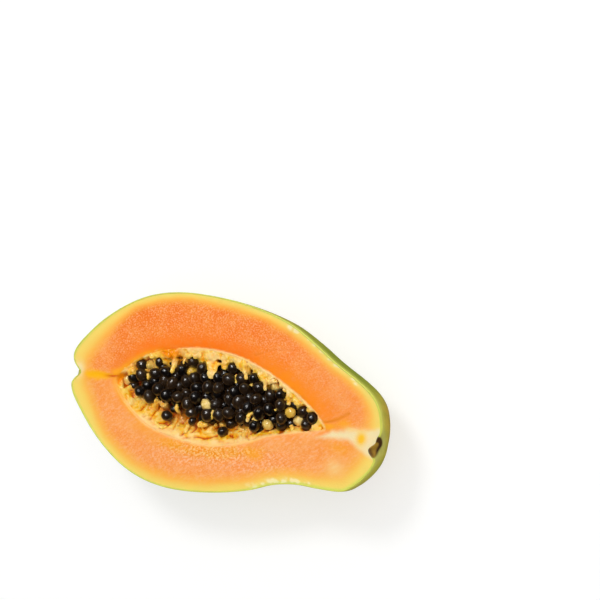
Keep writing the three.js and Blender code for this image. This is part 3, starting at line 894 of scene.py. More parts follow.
def swell_wall(rings):
    """Pushes the soft lining out in folds and lumps, deep on the sloping side."""
    points = rings.reshape(-1, 3)
    flat = points[:, :2]
    x, y = flat.T
    _, share = hollow_place(x, y)
    slope = smoothstep(-y, 4, 10) * smoothstep(-x, -18, -4)
    bend = 2.4 * lumps(np.c_[flat, 0 * x], 9, 29, 2)
    hang = np.stack([x + 0.16 * y + bend, 0.5 * y + bend, 0 * x], 1)
    folds = 2.2 * np.abs(lumps(hang, 12, 11, 1)) - 0.5
    height = mix(0.3, 0.6, slope) * folds + lumps(points, 5, 5, 3) + 0.45 * lumps(points, 1.9, 8, 2)
    for crease in CREASES:
        height -= CREASE_DEEP * line_at(flat, crease, CREASE_WIDE)
    for centre, size in HOLES:
        height -= HOLE_DEEP * spot_at(flat, centre, size)
    height *= 1 - 0.45 * pale_band(flat, from_rim(flat))
    height *= smoothstep(share, 0.1, 0.3) * (1 - smoothstep(share, 0.95, 1))
    height *= smoothstep(seat_height(flat) - points[:, 2], 0, 0.9)
    return rings - grid_normals(rings) * height.reshape(rings.shape[:2])[:, :, None]


# %% Shape the cut face and the hollow's wall
under_rings, face_rings, wall_rings = flesh_rings()
relief = cut_relief(face_rings.reshape(-1, 3))
face_rings[:, :, 2] -= relief.reshape(face_rings.shape[:2])
wall_rings = swell_wall(wall_rings)
print("cut face lies", round(float(relief.min()), 2), "to", round(float(relief.max()), 2), "mm low")


# %% The kinds of flesh, as masks
def blush_at(flat):
    """Where the lining is a deeper orange."""
    return np.clip(spots_at(flat, BLUSHES), 0, 1)


def holes_at(flat):
    """Where the lining has torn through; the colour paints it dark as the shade between the seeds."""
    return smoothstep(sum(spot_at(flat, *hole) for hole in HOLES), 0.3, 0.65)


def flesh_masks(points):
    """How much of each kind of flesh is at each point."""
    flat = points[:, :2]
    x, y = flat.T
    depth = np.maximum(CUT_Z - points[:, 2], 0)
    torn = torn_share(flat)
    # The hole mask says where dark shade is painted into the torn holes; it is no kind of flesh.
    masks = {"depth": depth, "torn": torn, "blush": blush_at(flat), "hole": holes_at(flat)}

    # Distances to the rim and the peel, and two noises that keep every edge uneven.
    _, share = hollow_place(x, y)
    to_rim, to_peel = from_rim(flat), from_peel(flat)
    inward = np.where(share < 1, to_rim, -to_rim)
    outward = np.maximum(-inward, 0)
    wander, fine = lumps(points, 9, 21, 2), lumps(points, 2.4, 33, 2)

    # The soft lining, with a softer edge towards the blossom end, and its smooth pale band.
    soft_edge = smoothstep(-x, 14, 36) * smoothstep(-y, -1, 5)
    start, full = mix(-0.6, -1.6, soft_edge), mix(0.8, 2.6, soft_edge)
    masks["lining"] = smoothstep(inward + 0.7 * fine + 0.4 * wander, start, full)
    pale = pale_band(flat, inward + 0.25 * fine) * (1 - smoothstep(depth, 1.2, 2.8))
    masks["pale"] = pale * (1 - masks["blush"])

    # Above the middle the flesh is a deeper salmon, most of all by the hollow. It fades at both ends.
    above = smoothstep(y - 0.06 * x, -8, 8)
    upper = above * (1 - 0.75 * smoothstep(-x + 0.4 * wander, 52, 76))
    ripe = above * np.exp(-((outward / 7.5) ** 2)) * (1 - 0.8 * smoothstep(-x, 48, 58))
    masks["ripe"] = np.clip(ripe * (0.85 + 0.5 * fine), 0, 1)
    masks["amber"] = np.clip(ripe * (1 + 0.4 * fine), 0, 1) * smoothstep(x, 4, 34) * 0.8
    golden = 1.6 * np.exp(-((outward / 6) ** 3)) * torn * (0.8 + 0.8 * fine)
    masks["golden"] = np.clip(golden, 0, 0.9)

    # Towards the peel the flesh turns yellow, then pale, then green. The bands widen at both ends.
    tip, stem = smoothstep(-x, 55, 86), smoothstep(x - 0.3 * y, 60, 88)
    ring = (to_peel + 0.5 * wander) / (mix(1.35, 1, upper) + 1.5 * tip + 0.8 * stem)
    upper = upper * (1 - 0.6 * smoothstep(x + wander, 14, 58))
    low_right = smoothstep(x, 16, 34) * smoothstep(-y, 14, 22)
    line = 1 - smoothstep(to_peel / (1 + tip + low_right), 0.1, 1.2)
    grain = smoothstep(outward, 0.5, 8) * smoothstep(ring, 2.5, 6) * mix(0.5, 1, upper)
    masks["upper"] = upper
    masks["ring"] = 0.94 * (1 - smoothstep(ring, 1.8, 7.4))
    masks["edge"] = 1 - smoothstep(ring, 0.9, 4.2)
    masks["line"] = line * (1 - 0.4 * upper * (1 - tip))
    masks["grain"] = grain * (1 - 0.5 * smoothstep(x, 36, 66))

    # The seam from the blossom end starts as a broad flame and ends as a thin thread.
    to_seam, along = line_distance(flat, SEAM)
    flame = 0.2 + 2.3 * smoothstep(along, 0.16, 0.46) * (1 - 0.72 * smoothstep(along, 0.5, 0.92))
    seam = np.exp(-((to_seam / (flame * (1 + 0.25 * fine))) ** 3)) * (along < 0.99)
    masks["seam"] = seam * smoothstep(along, 0.2, 0.4)
    masks["thread"] = np.exp(-((to_seam / 0.6) ** 2)) * smoothstep(along, 0.6, 0.85)

    # The pale wedge of vein at the stem end, with its yellow bud and the light flesh round it.
    wedge = between(flat, WEDGE_ABOVE, WEDGE_BELOW) + 0.5 * fine
    masks["wedge"] = smoothstep(wedge, -1.4, 1.8) * smoothstep(x, 49, 58)
    masks["bud"] = np.clip(1.3 * spot_at(flat, BUD, BUD_SIZE), 0, 1)
    masks["halo"] = np.clip(spots_at(flat, HALO), 0, 1) * 0.7

    # Yellow glows by the rim, the pale tip, the crack, and sap that dried along the edge.
    lips = np.exp(-((outward / 1.9) ** 2)) * smoothstep(-x, 34, 48) * (1 + 0.4 * fine)
    masks["glow"] = np.clip(spots_at(flat, GLOWS) + np.clip(lips, 0, 0.8), 0, 1)
    masks["tip"] = np.clip(1.3 * spot_at(flat, *TIP_SPOT), 0, 0.75)
    masks["crack"] = line_at(flat, CRACK, 0.8)
    latex = sum(spot_at(flat, spot, LATEX_SIZE) for spot in LATEX)
    latex = latex + 0.7 * sum(spot_at(flat, *pool) for pool in LATEX_POOLS)
    latex = 0.66 * smoothstep(latex * (1 + 1.5 * fine), 0.1, 1.2)
    masks["latex"] = latex * smoothstep(to_peel, 0.2, 0.7) * (1 - smoothstep(to_peel, 2.6, 5.5))
    return masks


# %% Build the flesh
def build_flesh():
    """All the rings as one closed body, with a pole at the belly and one at the hollow's bottom."""
    rings = np.concatenate([under_rings, face_rings, wall_rings])
    count = rings.shape[1]
    last = (len(rings) - 1) * count
    floor = float(lining_height(HOLLOW_MIDDLE)[0])
    poles = [[*BELLY, PEEL_THICK + FLESH_GAP[1]], [*HOLLOW_MIDDLE, floor]]
    points = np.concatenate([rings.reshape(-1, 3), poles])
    faces = cap_faces(0, len(points) - 2, count)
    for row in range(0, last, count):
        faces += turned_over(ring_faces(row, row + count, count))
    faces += turned_over(cap_faces(last, len(points) - 1, count))
    piece = make_piece("flesh", points, faces)
    keep_attributes(piece, **flesh_masks(points))
    return piece


def crest_of(piece, rounds, high):
    """How far each point stands out of its surroundings: 0 in a crease, 1 on a crest."""
    mesh = piece.data
    points = points_of(mesh)
    ends = np.empty(len(mesh.edges) * 2, np.int32)
    mesh.edges.foreach_get("vertices", ends)
    a, b = ends.reshape(-1, 2).T
    around = np.maximum(np.bincount(ends, minlength=len(points)), 1)
    soft = points.astype(float)
    for _ in range(rounds):
        sums = [np.bincount(a, soft[b, k], len(points)) + np.bincount(b, soft[a, k], len(points))
                for k in range(3)]
        soft = np.stack(sums, 1) / around[:, None]
    out = ((points - soft) * vectors_of(mesh, "normal")).sum(1)
    return np.clip(0.5 + out / (2 * high), 0, 1)


flesh = build_flesh()
keep_attributes(flesh, crest=crest_of(flesh, rounds=20, high=0.4))
print("flesh:", len(flesh.data.polygons), "faces")

# %% [markdown]
# ## The torn lining
# Inside the hollow a soft, stringy lining holds the seeds. Where the knife passed it has torn into
# strands, tongues and lumps, yellow at their tips and pale near the rim, with painted light on their
# crests and painted shade in their creases. Each strand follows a path that hugs the lining or hangs
# over the seeds. Geometry Nodes sweep a tube of varying width along all the paths, and a voxel
# remesh melts the tubes into one wet web. The paths and the tree come here, and the web is grown
# once its finish is made.

# %% The lining's large tongues, in millimetres: root in the wall, tip, width
TONGUES = [
    ((-44, 17.5), (-41, 11.5), 4.4),
    ((-29, 21.5), (-29, 7), 3.6),
    ((-9.5, 25), (-6.5, 9), 9),
    ((6, 25), (11.5, 12.5), 3.6),
    ((20, 21.5), (22, 9.5), 3.8),
    ((34.3, 16.5), (35.5, 5.5), 2.8),
]
TONGUE_DROP = 3
TONGUE_SAG = 1
TONGUE_TAPER = 0.62
TONGUE_STRAND = 1.4
TONGUE_WIDTH = (0.9, 1.5)
TONGUE_INSET = 0.9
TONGUE_LEAST = 0.15
TONGUE_ROUGH = 0.2
TONGUE_LIFT = (0.3, 9)
print("tongues:", len(TONGUES))

# %% Smaller strands, in millimetres: their points, radius, and lift over what they lie on
THREADS = [
    ([(-36.8, 17), (-36.4, 15), (-35.6, 12.8)], 1.3, 0), ([(-33, 17), (-33, 15), (-32.6, 13)], 1.3, 0),
    ([(-23.6, 20), (-23.4, 17.4)], 1.2, 0.2), ([(-46, 11.4), (-45.6, 10.4)], 0.9, 0.2),
    ([(-42.8, 3.8), (-42, 2.4), (-41.6, 0.6)], 0.8, -0.3), ([(-24, 15.4), (-24.4, 12.4)], 0.8, 0.2),
    ([(-16.4, 20.4), (-15, 17.6), (-13.8, 15.2)], 1.0, 0.5),
    ([(-12.8, 22), (-11, 16), (-7.6, 9.4)], 0.9, 0.9),
    ([(-3.6, 21.6), (-1.4, 18), (-1.2, 14.6)], 1.1, 0.4), ([(2.2, 22.2), (4.4, 19.6), (5, 17)], 0.9, 0.3),
    ([(5.4, 14), (5.8, 12), (6.6, 9.6)], 0.6, 0.2), ([(10.8, 20.6), (13.4, 18)], 0.9, 0.3),
    ([(17.9, 18), (17.3, 15.2)], 1.0, 0.4), ([(14.4, 10.9), (15, 10.1)], 0.7, 0.3),
    ([(29.2, 2), (29.9, 1.1)], 0.7, 0.2),
    ([(16, -7.2), (16.6, -4.4), (18.6, -2)], 0.85, 0.1), ([(18.8, -5), (21.6, -5.6)], 0.9, 0.4),
    ([(-2.8, -5.8), (-3.1, -8.4), (-3.4, -11)], 0.7, 0), ([(38.6, -4), (39.4, -5.2), (40.2, -6.6)], 0.8, 0),
    ([(45.6, 5.4), (47.2, 4.6)], 0.8, 0.3), ([(-23.6, -7.6), (-23.4, -10.5), (-22.6, -13.4)], 0.9, -0.3),
    ([(-36.4, -7.5), (-37.6, -13), (-38.4, -18)], 1.7, -0.3), ([(-32, -8.8), (-31.6, -11.6)], 2.2, -0.6),
    ([(-48.6, -10.6), (-48.4, -14.6)], 2.3, -0.7), ([(-43.8, -10), (-44, -15.6)], 2.0, -0.6),
    ([(-16.8, -15), (-17.2, -20.6)], 2.0, -0.5), ([(-21.6, -14), (-21.8, -21)], 1.3, -0.4),
    ([(-32.4, -16.8), (-32.6, -19), (-29, -20.6), (-26.2, -19.4)], 0.8, 0.1),
    ([(-39.8, -13), (-39.4, -18)], 2.0, -0.7), ([(-10, -13.4), (-8.6, -14.6), (-5.4, -13.8)], 1.3, -0.1),
    ([(0.8, -12.6), (4.4, -12.3), (7.6, -12.4)], 1.1, -0.9),
    ([(9.6, -11.6), (13, -12.6), (16.4, -12.2)], 1.1, -0.3), ([(13.4, -14.6), (16, -17)], 0.7, 0.3),
    ([(-0.4, -16.6), (-3.4, -17.6), (-8, -17.2)], 1.0, 0.2), ([(-2.8, 17.6), (-2.8, 14.4)], 1.3, 0.6),
    ([(22.8, 13.4), (24.6, 14.9), (28, 14.9)], 1.0, 2.4),
    ([(-57.6, 1.4), (-53.6, 5), (-49.4, 8)], 0.9, 0.2),
    ([(-57.2, -2.4), (-55.4, -6), (-52.6, -8.6)], 0.8, 0.2),
]
THREAD_THICK = 1.4
THREAD_SUNK = 0.5
print("strands placed by hand:", len(THREADS))

# %% Strands that hang from the rim by chance: how many, where from, how long, thick and slanted
STRAND_POINTS = 7
FRINGE = (130, (0.14, 3.1), (3, 5), (1.6, 3.4), (0.9, 1.6), 0.2)
SLOPE = (3, (-2.9, -1.2), (4, 9), (4, 8), (1.0, 1.5), 0.1)
STRAND_TURN, STRAND_BEND = 0.3, 0.7
STRAND_LUMPY = (0.85, 1.15)
STRAND_ARCH = 0.4
LINING_SEED = 12
DRAPE_DIP = 2.3
ROOT_FROM, ROOT_STEEP = 0.92, 11
PROUD = 0.1


def tongue_section(tongue, along):
    """A tongue's middle and half width, at a share of the way from its root to its tip."""
    root, tip, width = tongue
    z = CUT_Z - TONGUE_DROP - TONGUE_SAG * along * along
    half = (width / 2) * (1 - TONGUE_TAPER * along ** 1.5)
    return mix(root[0], tip[0], along), mix(root[1], tip[1], along), z, half


def taper(along):
    """A strand's width along it: full in the middle, less at its root, rounded off at its tip."""
    return 0.3 + 0.7 * math.sin(math.pi * (0.22 + 0.72 * along)) ** 0.7


def drape(x, y, lift, radius=1):
    """A point so far above the lining or the seeds under it, sunk in the flesh where it starts."""
    share = heap_share(x, y)
    height = float(lining_height((x, y))[0])
    if share < 1:
        height = max(height, heap_top(share) - DRAPE_DIP)
    out = float(hollow_place(x, y)[1])
    root = CUT_Z + PROUD - radius - ROOT_STEEP * max(out - ROOT_FROM, 0)
    return float(x), float(y), min(height + lift, root)


def hanging_strand(rng, side, inset, long, width, lean):
    """A strand that starts near the rim and wanders down over the lining."""
    start = rng.uniform(*inset)
    angle = rng.uniform(*side)
    reach = float(hollow_reach(angle))
    out = np.array([math.cos(angle), math.sin(angle)])
    x, y = np.array(HOLLOW_MIDDLE) + out * (reach - start)
    heading = -math.pi / 2 * np.sign(y) + rng.normal(lean * np.sign(x), STRAND_TURN)
    step = rng.uniform(*long) / STRAND_POINTS
    bend = rng.normal(0, STRAND_BEND)
    thick = rng.uniform(*width)
    path = []
    for k in range(STRAND_POINTS):
        s = k / (STRAND_POINTS - 1)
        radius = thick * (taper(s) * rng.uniform(*STRAND_LUMPY))
        path.append((*drape(x, y, STRAND_ARCH * math.sin(math.pi * s), radius), radius))
        turn = heading + bend * s
        x, y = x + math.cos(turn) * step, y + math.sin(turn) * step
    return path


def tongue_strands(rng):
    """Strands side by side that make up the large tongues."""
    for tongue in TONGUES:
        (x0, y0), (x1, y1), width = tongue
        across = np.array([y1 - y0, x0 - x1]) / math.dist((x0, y0), (x1, y1))
        count = max(3, round(width / TONGUE_STRAND))
        for k in range(count):
            side = (k / (count - 1) - 0.5) * 2
            path = []
            for s in np.linspace(0, 1, STRAND_POINTS):
                x, y, z, half = tongue_section(tongue, s)
                shift = across * side * max(half - TONGUE_INSET, TONGUE_LEAST)
                shift = shift + rng.normal(0, TONGUE_ROUGH, 2)
                radius = rng.uniform(*TONGUE_WIDTH) * taper(s)
                low, high = TONGUE_LIFT
                z = min(max(z, drape(x, y, low)[2]), drape(x, y, high, radius)[2])
                path.append((x + shift[0], y + shift[1], z + rng.normal(0, TONGUE_ROUGH), radius))
            yield path


# %% Places that stay clear of strands
CLEAR_LEAN = (0.48, 0.11)
CLEAR_UNDER = 2
CLEAR_HOLE, CLEAR_BLUSH = 1.9, 3


def clear_places():
    """Centres and radii: the seeds, which stay clear towards the stem end, and the holes."""
    places = [(*centre, CLEAR_HOLE) for centre, _ in HOLES] + [(*BLUSHES[0][0], CLEAR_BLUSH)]
    for share, seeds in ((1.0, pales), (0.85, front + strays)):
        for x, y, z, radius, _ in seeds:
            under = CUT_Z - CLEAR_UNDER - z
            places.append((x + CLEAR_LEAN[0] * under, y + CLEAR_LEAN[1] * under, share * radius))
    return places


def lining_paths():
    rng = np.random.default_rng(LINING_SEED)
    loose = [hanging_strand(rng, *sizes) for count, *sizes in (FRINGE, SLOPE) for _ in range(count)]
    clear = clear_places()
    paths = list(tongue_strands(rng))
    paths += [path for path in loose if not any(
        math.dist(point[:2], place[:2]) < place[2] for point in path for place in clear)]
    for spots, width, lift in THREADS:
        path = []
        for (x, y), s in zip(spots, np.linspace(0, 1, len(spots))):
            radius = THREAD_THICK * width * taper(s)
            path.append((*drape(x, y, lift - THREAD_SUNK * width, radius), radius))
        paths.append(path)
    return paths


paths = lining_paths()
print("strands in all:", len(paths))


# %% A tree that sweeps tubes along paths
def sweep_tree():
    tree, add = new_tree("tubes_along_paths", {
        "Sides": ("NodeSocketInt", 8), "Steps": ("NodeSocketInt", 18)})
    given = add("NodeGroupInput").outputs
    curves = add("GeometryNodeMeshToCurve", {"Mesh": given["Geometry"]})
    smooth = add("GeometryNodeCurveSplineType", {"Curve": curves}, spline_type="CATMULL_ROM")
    even = add("GeometryNodeResampleCurve", {"Curve": smooth, "Count": given["Steps"]})
    width = add("GeometryNodeInputNamedAttribute", {"Name": "width"}, data_type="FLOAT")
    ring = add("GeometryNodeCurvePrimitiveCircle", {"Resolution": given["Sides"], "Radius": 1.0})
    tubes = add("GeometryNodeCurveToMesh", {
        "Curve": even, "Profile Curve": ring, "Scale": width, "Fill Caps": True})
    real = add("GeometryNodeRealizeInstances", {"Geometry": tubes})
    painted = add("GeometryNodeSetMaterial", {"Geometry": real, "Material": given["Material"]})
    add("NodeGroupOutput", {"Geometry": painted})
    return tree


tubes_along_paths = sweep_tree()
print("tube tree:", len(tubes_along_paths.nodes), "nodes")

# %% Melt the strands into one web
LINING_VOXEL = 0.4
SOFT_SHARE, SOFT_ROUNDS = 0.5, 7
LUMPS = ((0.5, 2.4, 7), (0.3, 1.1, 9))
WEB_HOLE_DEEP = 2.2


def build_lining(finish):
    points = np.array([point for path in paths for point in path])
    edges, start = [], 0
    for path in paths:
        edges += [(start + k, start + k + 1) for k in range(len(path) - 1)]
        start += len(path)
    piece = make_piece("lining", points[:, :3], [], edges)
    keep_attributes(piece, width=points[:, 3] * MM)
    run_nodes(piece, tubes_along_paths, {"Material": finish})
    melt = piece.modifiers.new("melt", "REMESH")
    melt.mode, melt.voxel_size = "VOXEL", LINING_VOXEL * MM
    soften = piece.modifiers.new("soften", "SMOOTH")
    soften.factor, soften.iterations = SOFT_SHARE, SOFT_ROUNDS
    return roughen(flatten(piece))


def roughen(piece):
    """Gives the wet web its small lumps, and keeps what the material needs at each point."""
    mesh = piece.data
    points = points_of(mesh)
    swell = sum(height * lumps(points, size, seed, 2) for height, size, seed in LUMPS)
    points = points + vectors_of(mesh, "normal") * swell[:, None]
    flat = points[:, :2]
    points[:, 2] -= WEB_HOLE_DEEP * holes_at(flat)
    mesh.vertices.foreach_set("co", (points * MM).astype(np.float32).ravel())
    mesh.update()
    depth = np.maximum(CUT_Z - points[:, 2], 0)
    # The depth and hole masks carry painted shade in the deep lining and its holes; blush is its own deeper
    # orange.
    keep_attributes(piece, depth=depth, blush=blush_at(flat), hole=holes_at(flat))
    keep_attributes(piece, crest=crest_of(piece, rounds=24, high=0.6))
    mesh.shade_smooth()
    return piece


# %% [markdown]
# ## Finishes
# Each finish starts from the real material. Colours are hex values that are turned to linear, and
# pattern sizes are in millimetres, because every pattern reads the object's own place. Most finishes
# are built up like paint: a ground colour, and over it one colour after another, each as strong as
# a mask on the mesh or a pattern says.

# %% Helpers for layered colours
def place_in_mm(add):
    """The object's own coordinates, in millimetres."""
    own = add("ShaderNodeTexCoord").outputs["Object"]
    return add("ShaderNodeVectorMath", {0: own, "Scale": 1 / MM}, operation="SCALE")


def lay_masks(add, colour, layers):
    """Lays colours over one another, each as strong as the mesh's attribute of that name."""
    for mask, over in layers:
        share = add("ShaderNodeAttribute", attribute_name=mask).outputs["Fac"]
        colour = add("ShaderNodeMix", {0: share, 6: colour, 7: over}, data_type="RGBA")
    return colour


def lay_patterns(add, colour, layers):
    """Lays colours over one another, each where a pattern runs from one value to another."""
    for pattern, start, full, strength, over in layers:
        share = add("ShaderNodeMapRange", {
            "Value": pattern, "From Min": start, "From Max": full, "To Max": strength})
        colour = add("ShaderNodeMix", {0: share, 6: colour, 7: over}, data_type="RGBA")
    return colour


# %% Waxy papaya peel
PEEL_TONES = [(0.34, "#98a32a"), (0.45, "#aead30"), (0.56, "#c2b53a"), (0.7, "#cda838")]
PEEL_LAYERS = [("lime", "#cccb5c"), ("corky", "#b3ae52"), ("cut", "#d2d452")]
SCAR_STAINS = [
    ((82, SCAR[1] - 0.4, CUT_Z), 4.7, 0.7, "#4a2c08"), ((82, SCAR[1] - 1.8, CUT_Z), 3.3, 0.8, "#a9801e"),
    ((80.5, SCAR[1] - 3.4, CUT_Z), 1.2, 1.4, "#6e4a0c"), ((-84, -4.1, CUT_Z), 0.5, 0.4, "#4c4a1c"),
]
STAIN_LONG = 0.25
PATCH_SIZE, MOTTLE_SIZE, PORE_GAP, WAX_GRAIN = 48, 5, 3.4, 1.1


def peel_material():
    """Thin waxy peel, ripening from green to yellow in soft patches, with small pale pores."""
    material, add = new_material("papaya_peel_waxy")
    place = place_in_mm(add)
    patch = add("ShaderNodeTexNoise", {
        "Vector": place, "Scale": 1 / PATCH_SIZE, "Detail": 3.0, "Roughness": 0.45})
    mottle = add("ShaderNodeTexNoise", {
        "Vector": place, "Scale": 1 / MOTTLE_SIZE, "Detail": 4.0, "Roughness": 0.6})
    pores = add("ShaderNodeTexVoronoi", {"Vector": place, "Scale": 1 / PORE_GAP})
    colour = set_ramp(add("ShaderNodeValToRGB", {"Fac": patch}), PEEL_TONES)
    colour = lay_patterns(add, colour, [
        (mottle, 0.35, 0.7, 0.4, "#84901d"), (pores, 0.1, 0.05, 0.35, "#cfc76c")])
    colour = lay_masks(add, colour, PEEL_LAYERS)
    for centre, reach, soft, stain in SCAR_STAINS:
        toward = add("ShaderNodeVectorMath", {0: place, 1: centre}, operation="SUBTRACT")
        flat = add("ShaderNodeVectorMath", {0: toward, 1: (STAIN_LONG, 1, 1)}, operation="MULTIPLY")
        away = add("ShaderNodeVectorMath", {0: flat}, operation="LENGTH")
        colour = lay_patterns(add, colour, [(away, reach + soft, reach, 1.0, stain)])
    fine = add("ShaderNodeTexNoise", {"Vector": place, "Scale": 1 / WAX_GRAIN, "Detail": 3.0})
    bump = add("ShaderNodeBump", {"Height": fine, "Strength": 0.12, "Distance": 0.3 * MM})
    surface = add("ShaderNodeBsdfPrincipled", {
        "Base Color": colour, "Roughness": 0.42, "IOR": 1.42, "Normal": bump,
        "Coat Weight": 0.12, "Coat Roughness": 0.3})
    add("ShaderNodeOutputMaterial", {"Surface": surface})
    return material


# %% The lining's colour, on the flesh and on the torn web alike
LINING_CREASE_SHADE_TONES = [(0.1, "#d06400"), (0.32, "#f59c08"), (0.55, "#fcb81a"), (0.86, "#fecc58")]
# Blush is the lining's own deeper orange; the hole colour is painted shade in the torn holes.
LINING_BLUSH_AND_HOLE_SHADE = [("blush", "#fa9400"), ("hole", "#2a1206")]
FOLD_SIZE, CREAM_SIZE, WRINKLE_SIZE = 3.5, 5.5, 1.7


def lining_colour(add, place):
    """Golden with cream patches; painted light and shade: pale crests, orange creases, dark depths, tears.
    """
    lumpy = add("ShaderNodeTexNoise", {
        "Vector": place, "Scale": 1 / FOLD_SIZE, "Detail": 3.0, "Roughness": 0.55})
    crest = add("ShaderNodeAttribute", attribute_name="crest").outputs["Fac"]
    half = add("ShaderNodeMath", {0: lumpy, 1: 0.5}, operation="MULTIPLY")
    tone = add("ShaderNodeMath", {0: crest, 1: half}, operation="ADD")
    tone = add("ShaderNodeMath", {0: tone, 1: 0.25}, operation="SUBTRACT")
    # The ramp by crest paints light and shade over the lining's own gold: dark orange in creases, pale on
    # crests.
    colour = set_ramp(add("ShaderNodeValToRGB", {"Fac": tone}), LINING_CREASE_SHADE_TONES)
    cream = add("ShaderNodeTexNoise", {
        "Vector": place, "Scale": 1 / CREAM_SIZE, "Detail": 2.0, "Roughness": 0.5})
    depth = add("ShaderNodeAttribute", attribute_name="depth").outputs["Fac"]
    near = add("ShaderNodeMapRange", {
        "Value": depth, "From Min": 2.6, "From Max": 0.8, "To Min": 0.25, "To Max": 0.8})
    # Painted shade: the lining turns dark red-orange where it lies deep in the hollow. The cream patches
    # are stronger near the cut.
    colour = lay_patterns(add, colour, [
        (cream, 0.47, 0.62, near, "#fdd78c"), (depth, 3.2, 7.5, 0.7, "#c44a04")])
    return lay_masks(add, colour, LINING_BLUSH_AND_HOLE_SHADE)


# %% Moist flesh, cut with a knife
BELOW_TONES = [(0.35, "#fb9d48"), (0.65, "#fcaa60")]
ABOVE_TONES = [(0.35, "#f57d26"), (0.65, "#f8903c")]
FLESH_LAYERS = [
    ("ripe", "#fc7a06"), ("amber", "#fd9208"), ("ring", "#fcbc4a"), ("glow", "#fda51c"),
    ("edge", "#f4d66a"), ("crack", "#f08a1c"), ("tip", "#f4e2b0"), ("seam", "#ffb700"),
    ("thread", "#d84404"), ("halo", "#f7d98e"), ("wedge", "#f1deab"), ("bud", "#fcc52c"),
    ("line", "#d8dc62"), ("latex", "#f8eec4"),
]
LINING_PALE = "#ffd08a"
TONE_SIZE, GRANULE_SIZE, FIBRE_SIZE, FLECK_SIZE = 9, 0.8, 1.2, 1.05
FIBRE_LONG, FLECK_LONG = 2.2, 1.4
DRAG_TURN = 0.7
SOFT_DEPTHS = (1.0, 0.6, 0.3)
SOFT_DEPTH = 0.9


def cut_colour(add, place, granules):
    """The knife's cut: salmon and granular, in short fibres below, in coarse flecks where it tore."""
    masks = ("upper", "grain", "torn", "golden")
    upper, grain, torn, golden = (
        add("ShaderNodeAttribute", attribute_name=mask).outputs["Fac"] for mask in masks)
    patch = add("ShaderNodeTexNoise", {
        "Vector": place, "Scale": 1 / TONE_SIZE, "Detail": 3.0, "Roughness": 0.5})
    below = set_ramp(add("ShaderNodeValToRGB", {"Fac": patch}), BELOW_TONES)
    above = set_ramp(add("ShaderNodeValToRGB", {"Fac": patch}), ABOVE_TONES)
    colour = add("ShaderNodeMix", {0: upper, 6: below, 7: above}, data_type="RGBA")
    drawn = {"Vector": place, "Rotation": (0, 0, DRAG_TURN)}
    fibres, flecks = (
        add("ShaderNodeMapping", {**drawn, "Scale": (long, 1, 1)}, vector_type="TEXTURE")
        for long in (FIBRE_LONG, FLECK_LONG))
    fibre = add("ShaderNodeTexNoise", {
        "Vector": fibres, "Scale": 1 / FIBRE_SIZE, "Detail": 2.0, "Roughness": 0.6})
    grit = add("ShaderNodeTexNoise", {
        "Vector": flecks, "Scale": 1 / FLECK_SIZE, "Detail": 3.0, "Roughness": 0.7})
    lower = add("ShaderNodeMath", {0: 1.0, 1: upper}, operation="SUBTRACT")
    lightly, darkly, fibrous = (
        add("ShaderNodeMath", {0: share, 1: most}, operation="MULTIPLY")
        for share, most in ((grain, 0.75), (grain, 0.8), (lower, 0.55)))
    colour = lay_patterns(add, colour, [
        (granules, 0.5, 0.68, lightly, "#ffb67c"), (granules, 0.48, 0.32, darkly, "#f27312"),
        (fibre, 0.5, 0.7, fibrous, "#fdbb8a"), (fibre, 0.5, 0.3, fibrous, "#fb993a")])
    # Where it tore, the pale flecks are partly the flesh's own colour and partly painted highlight on the
    # torn bits; the darker gaps between them are painted shade.
    colour, fleck_and_highlight, gap = (
        add("ShaderNodeMix", {0: golden, 6: plain, 7: rich}, data_type="RGBA")
        for plain, rich in ((colour, "#f9a83c"), ("#ffc098", "#ffcf88"), ("#fb9648", "#f28e04")))
    return lay_patterns(add, colour, [(grit, 0.5, 0.4, torn, gap), (grit, 0.5, 0.62, torn, fleck_and_highlight)])


def flesh_material():
    """Moist ripe flesh: salmon and granular, deep orange by the hollow, yellow under the peel."""
    material, add = new_material("papaya_flesh_knife_cut")
    place = place_in_mm(add)
    granules = add("ShaderNodeTexNoise", {
        "Vector": place, "Scale": 1 / GRANULE_SIZE, "Detail": 1.5, "Roughness": 0.6})
    colour = lay_masks(add, cut_colour(add, place, granules), FLESH_LAYERS)
    colour = lay_masks(add, colour, [("lining", lining_colour(add, place)), ("pale", LINING_PALE)])
    lining = add("ShaderNodeAttribute", attribute_name="lining").outputs["Fac"]
    wrinkle = add("ShaderNodeTexNoise", {
        "Vector": place, "Scale": 1 / WRINKLE_SIZE, "Detail": 3.0, "Roughness": 0.6})
    height = add("ShaderNodeMix", {0: lining, 2: granules, 3: wrinkle})
    rough = add("ShaderNodeMapRange", {"Value": lining, "To Min": 0.3 * MM, "To Max": 1.2 * MM})
    bump = add("ShaderNodeBump", {"Height": height, "Strength": 0.35, "Distance": rough})
    wet = add("ShaderNodeMapRange", {"Value": lining, "To Min": 0.4, "To Max": 0.3})
    surface = add("ShaderNodeBsdfPrincipled", {
        "Base Color": colour, "Roughness": wet, "IOR": 1.34, "Specular IOR Level": 0.3, "Normal": bump,
        "Subsurface Weight": 0.35, "Subsurface Radius": SOFT_DEPTHS, "Subsurface Scale": SOFT_DEPTH * MM})
    add("ShaderNodeOutputMaterial", {"Surface": surface})
    return material


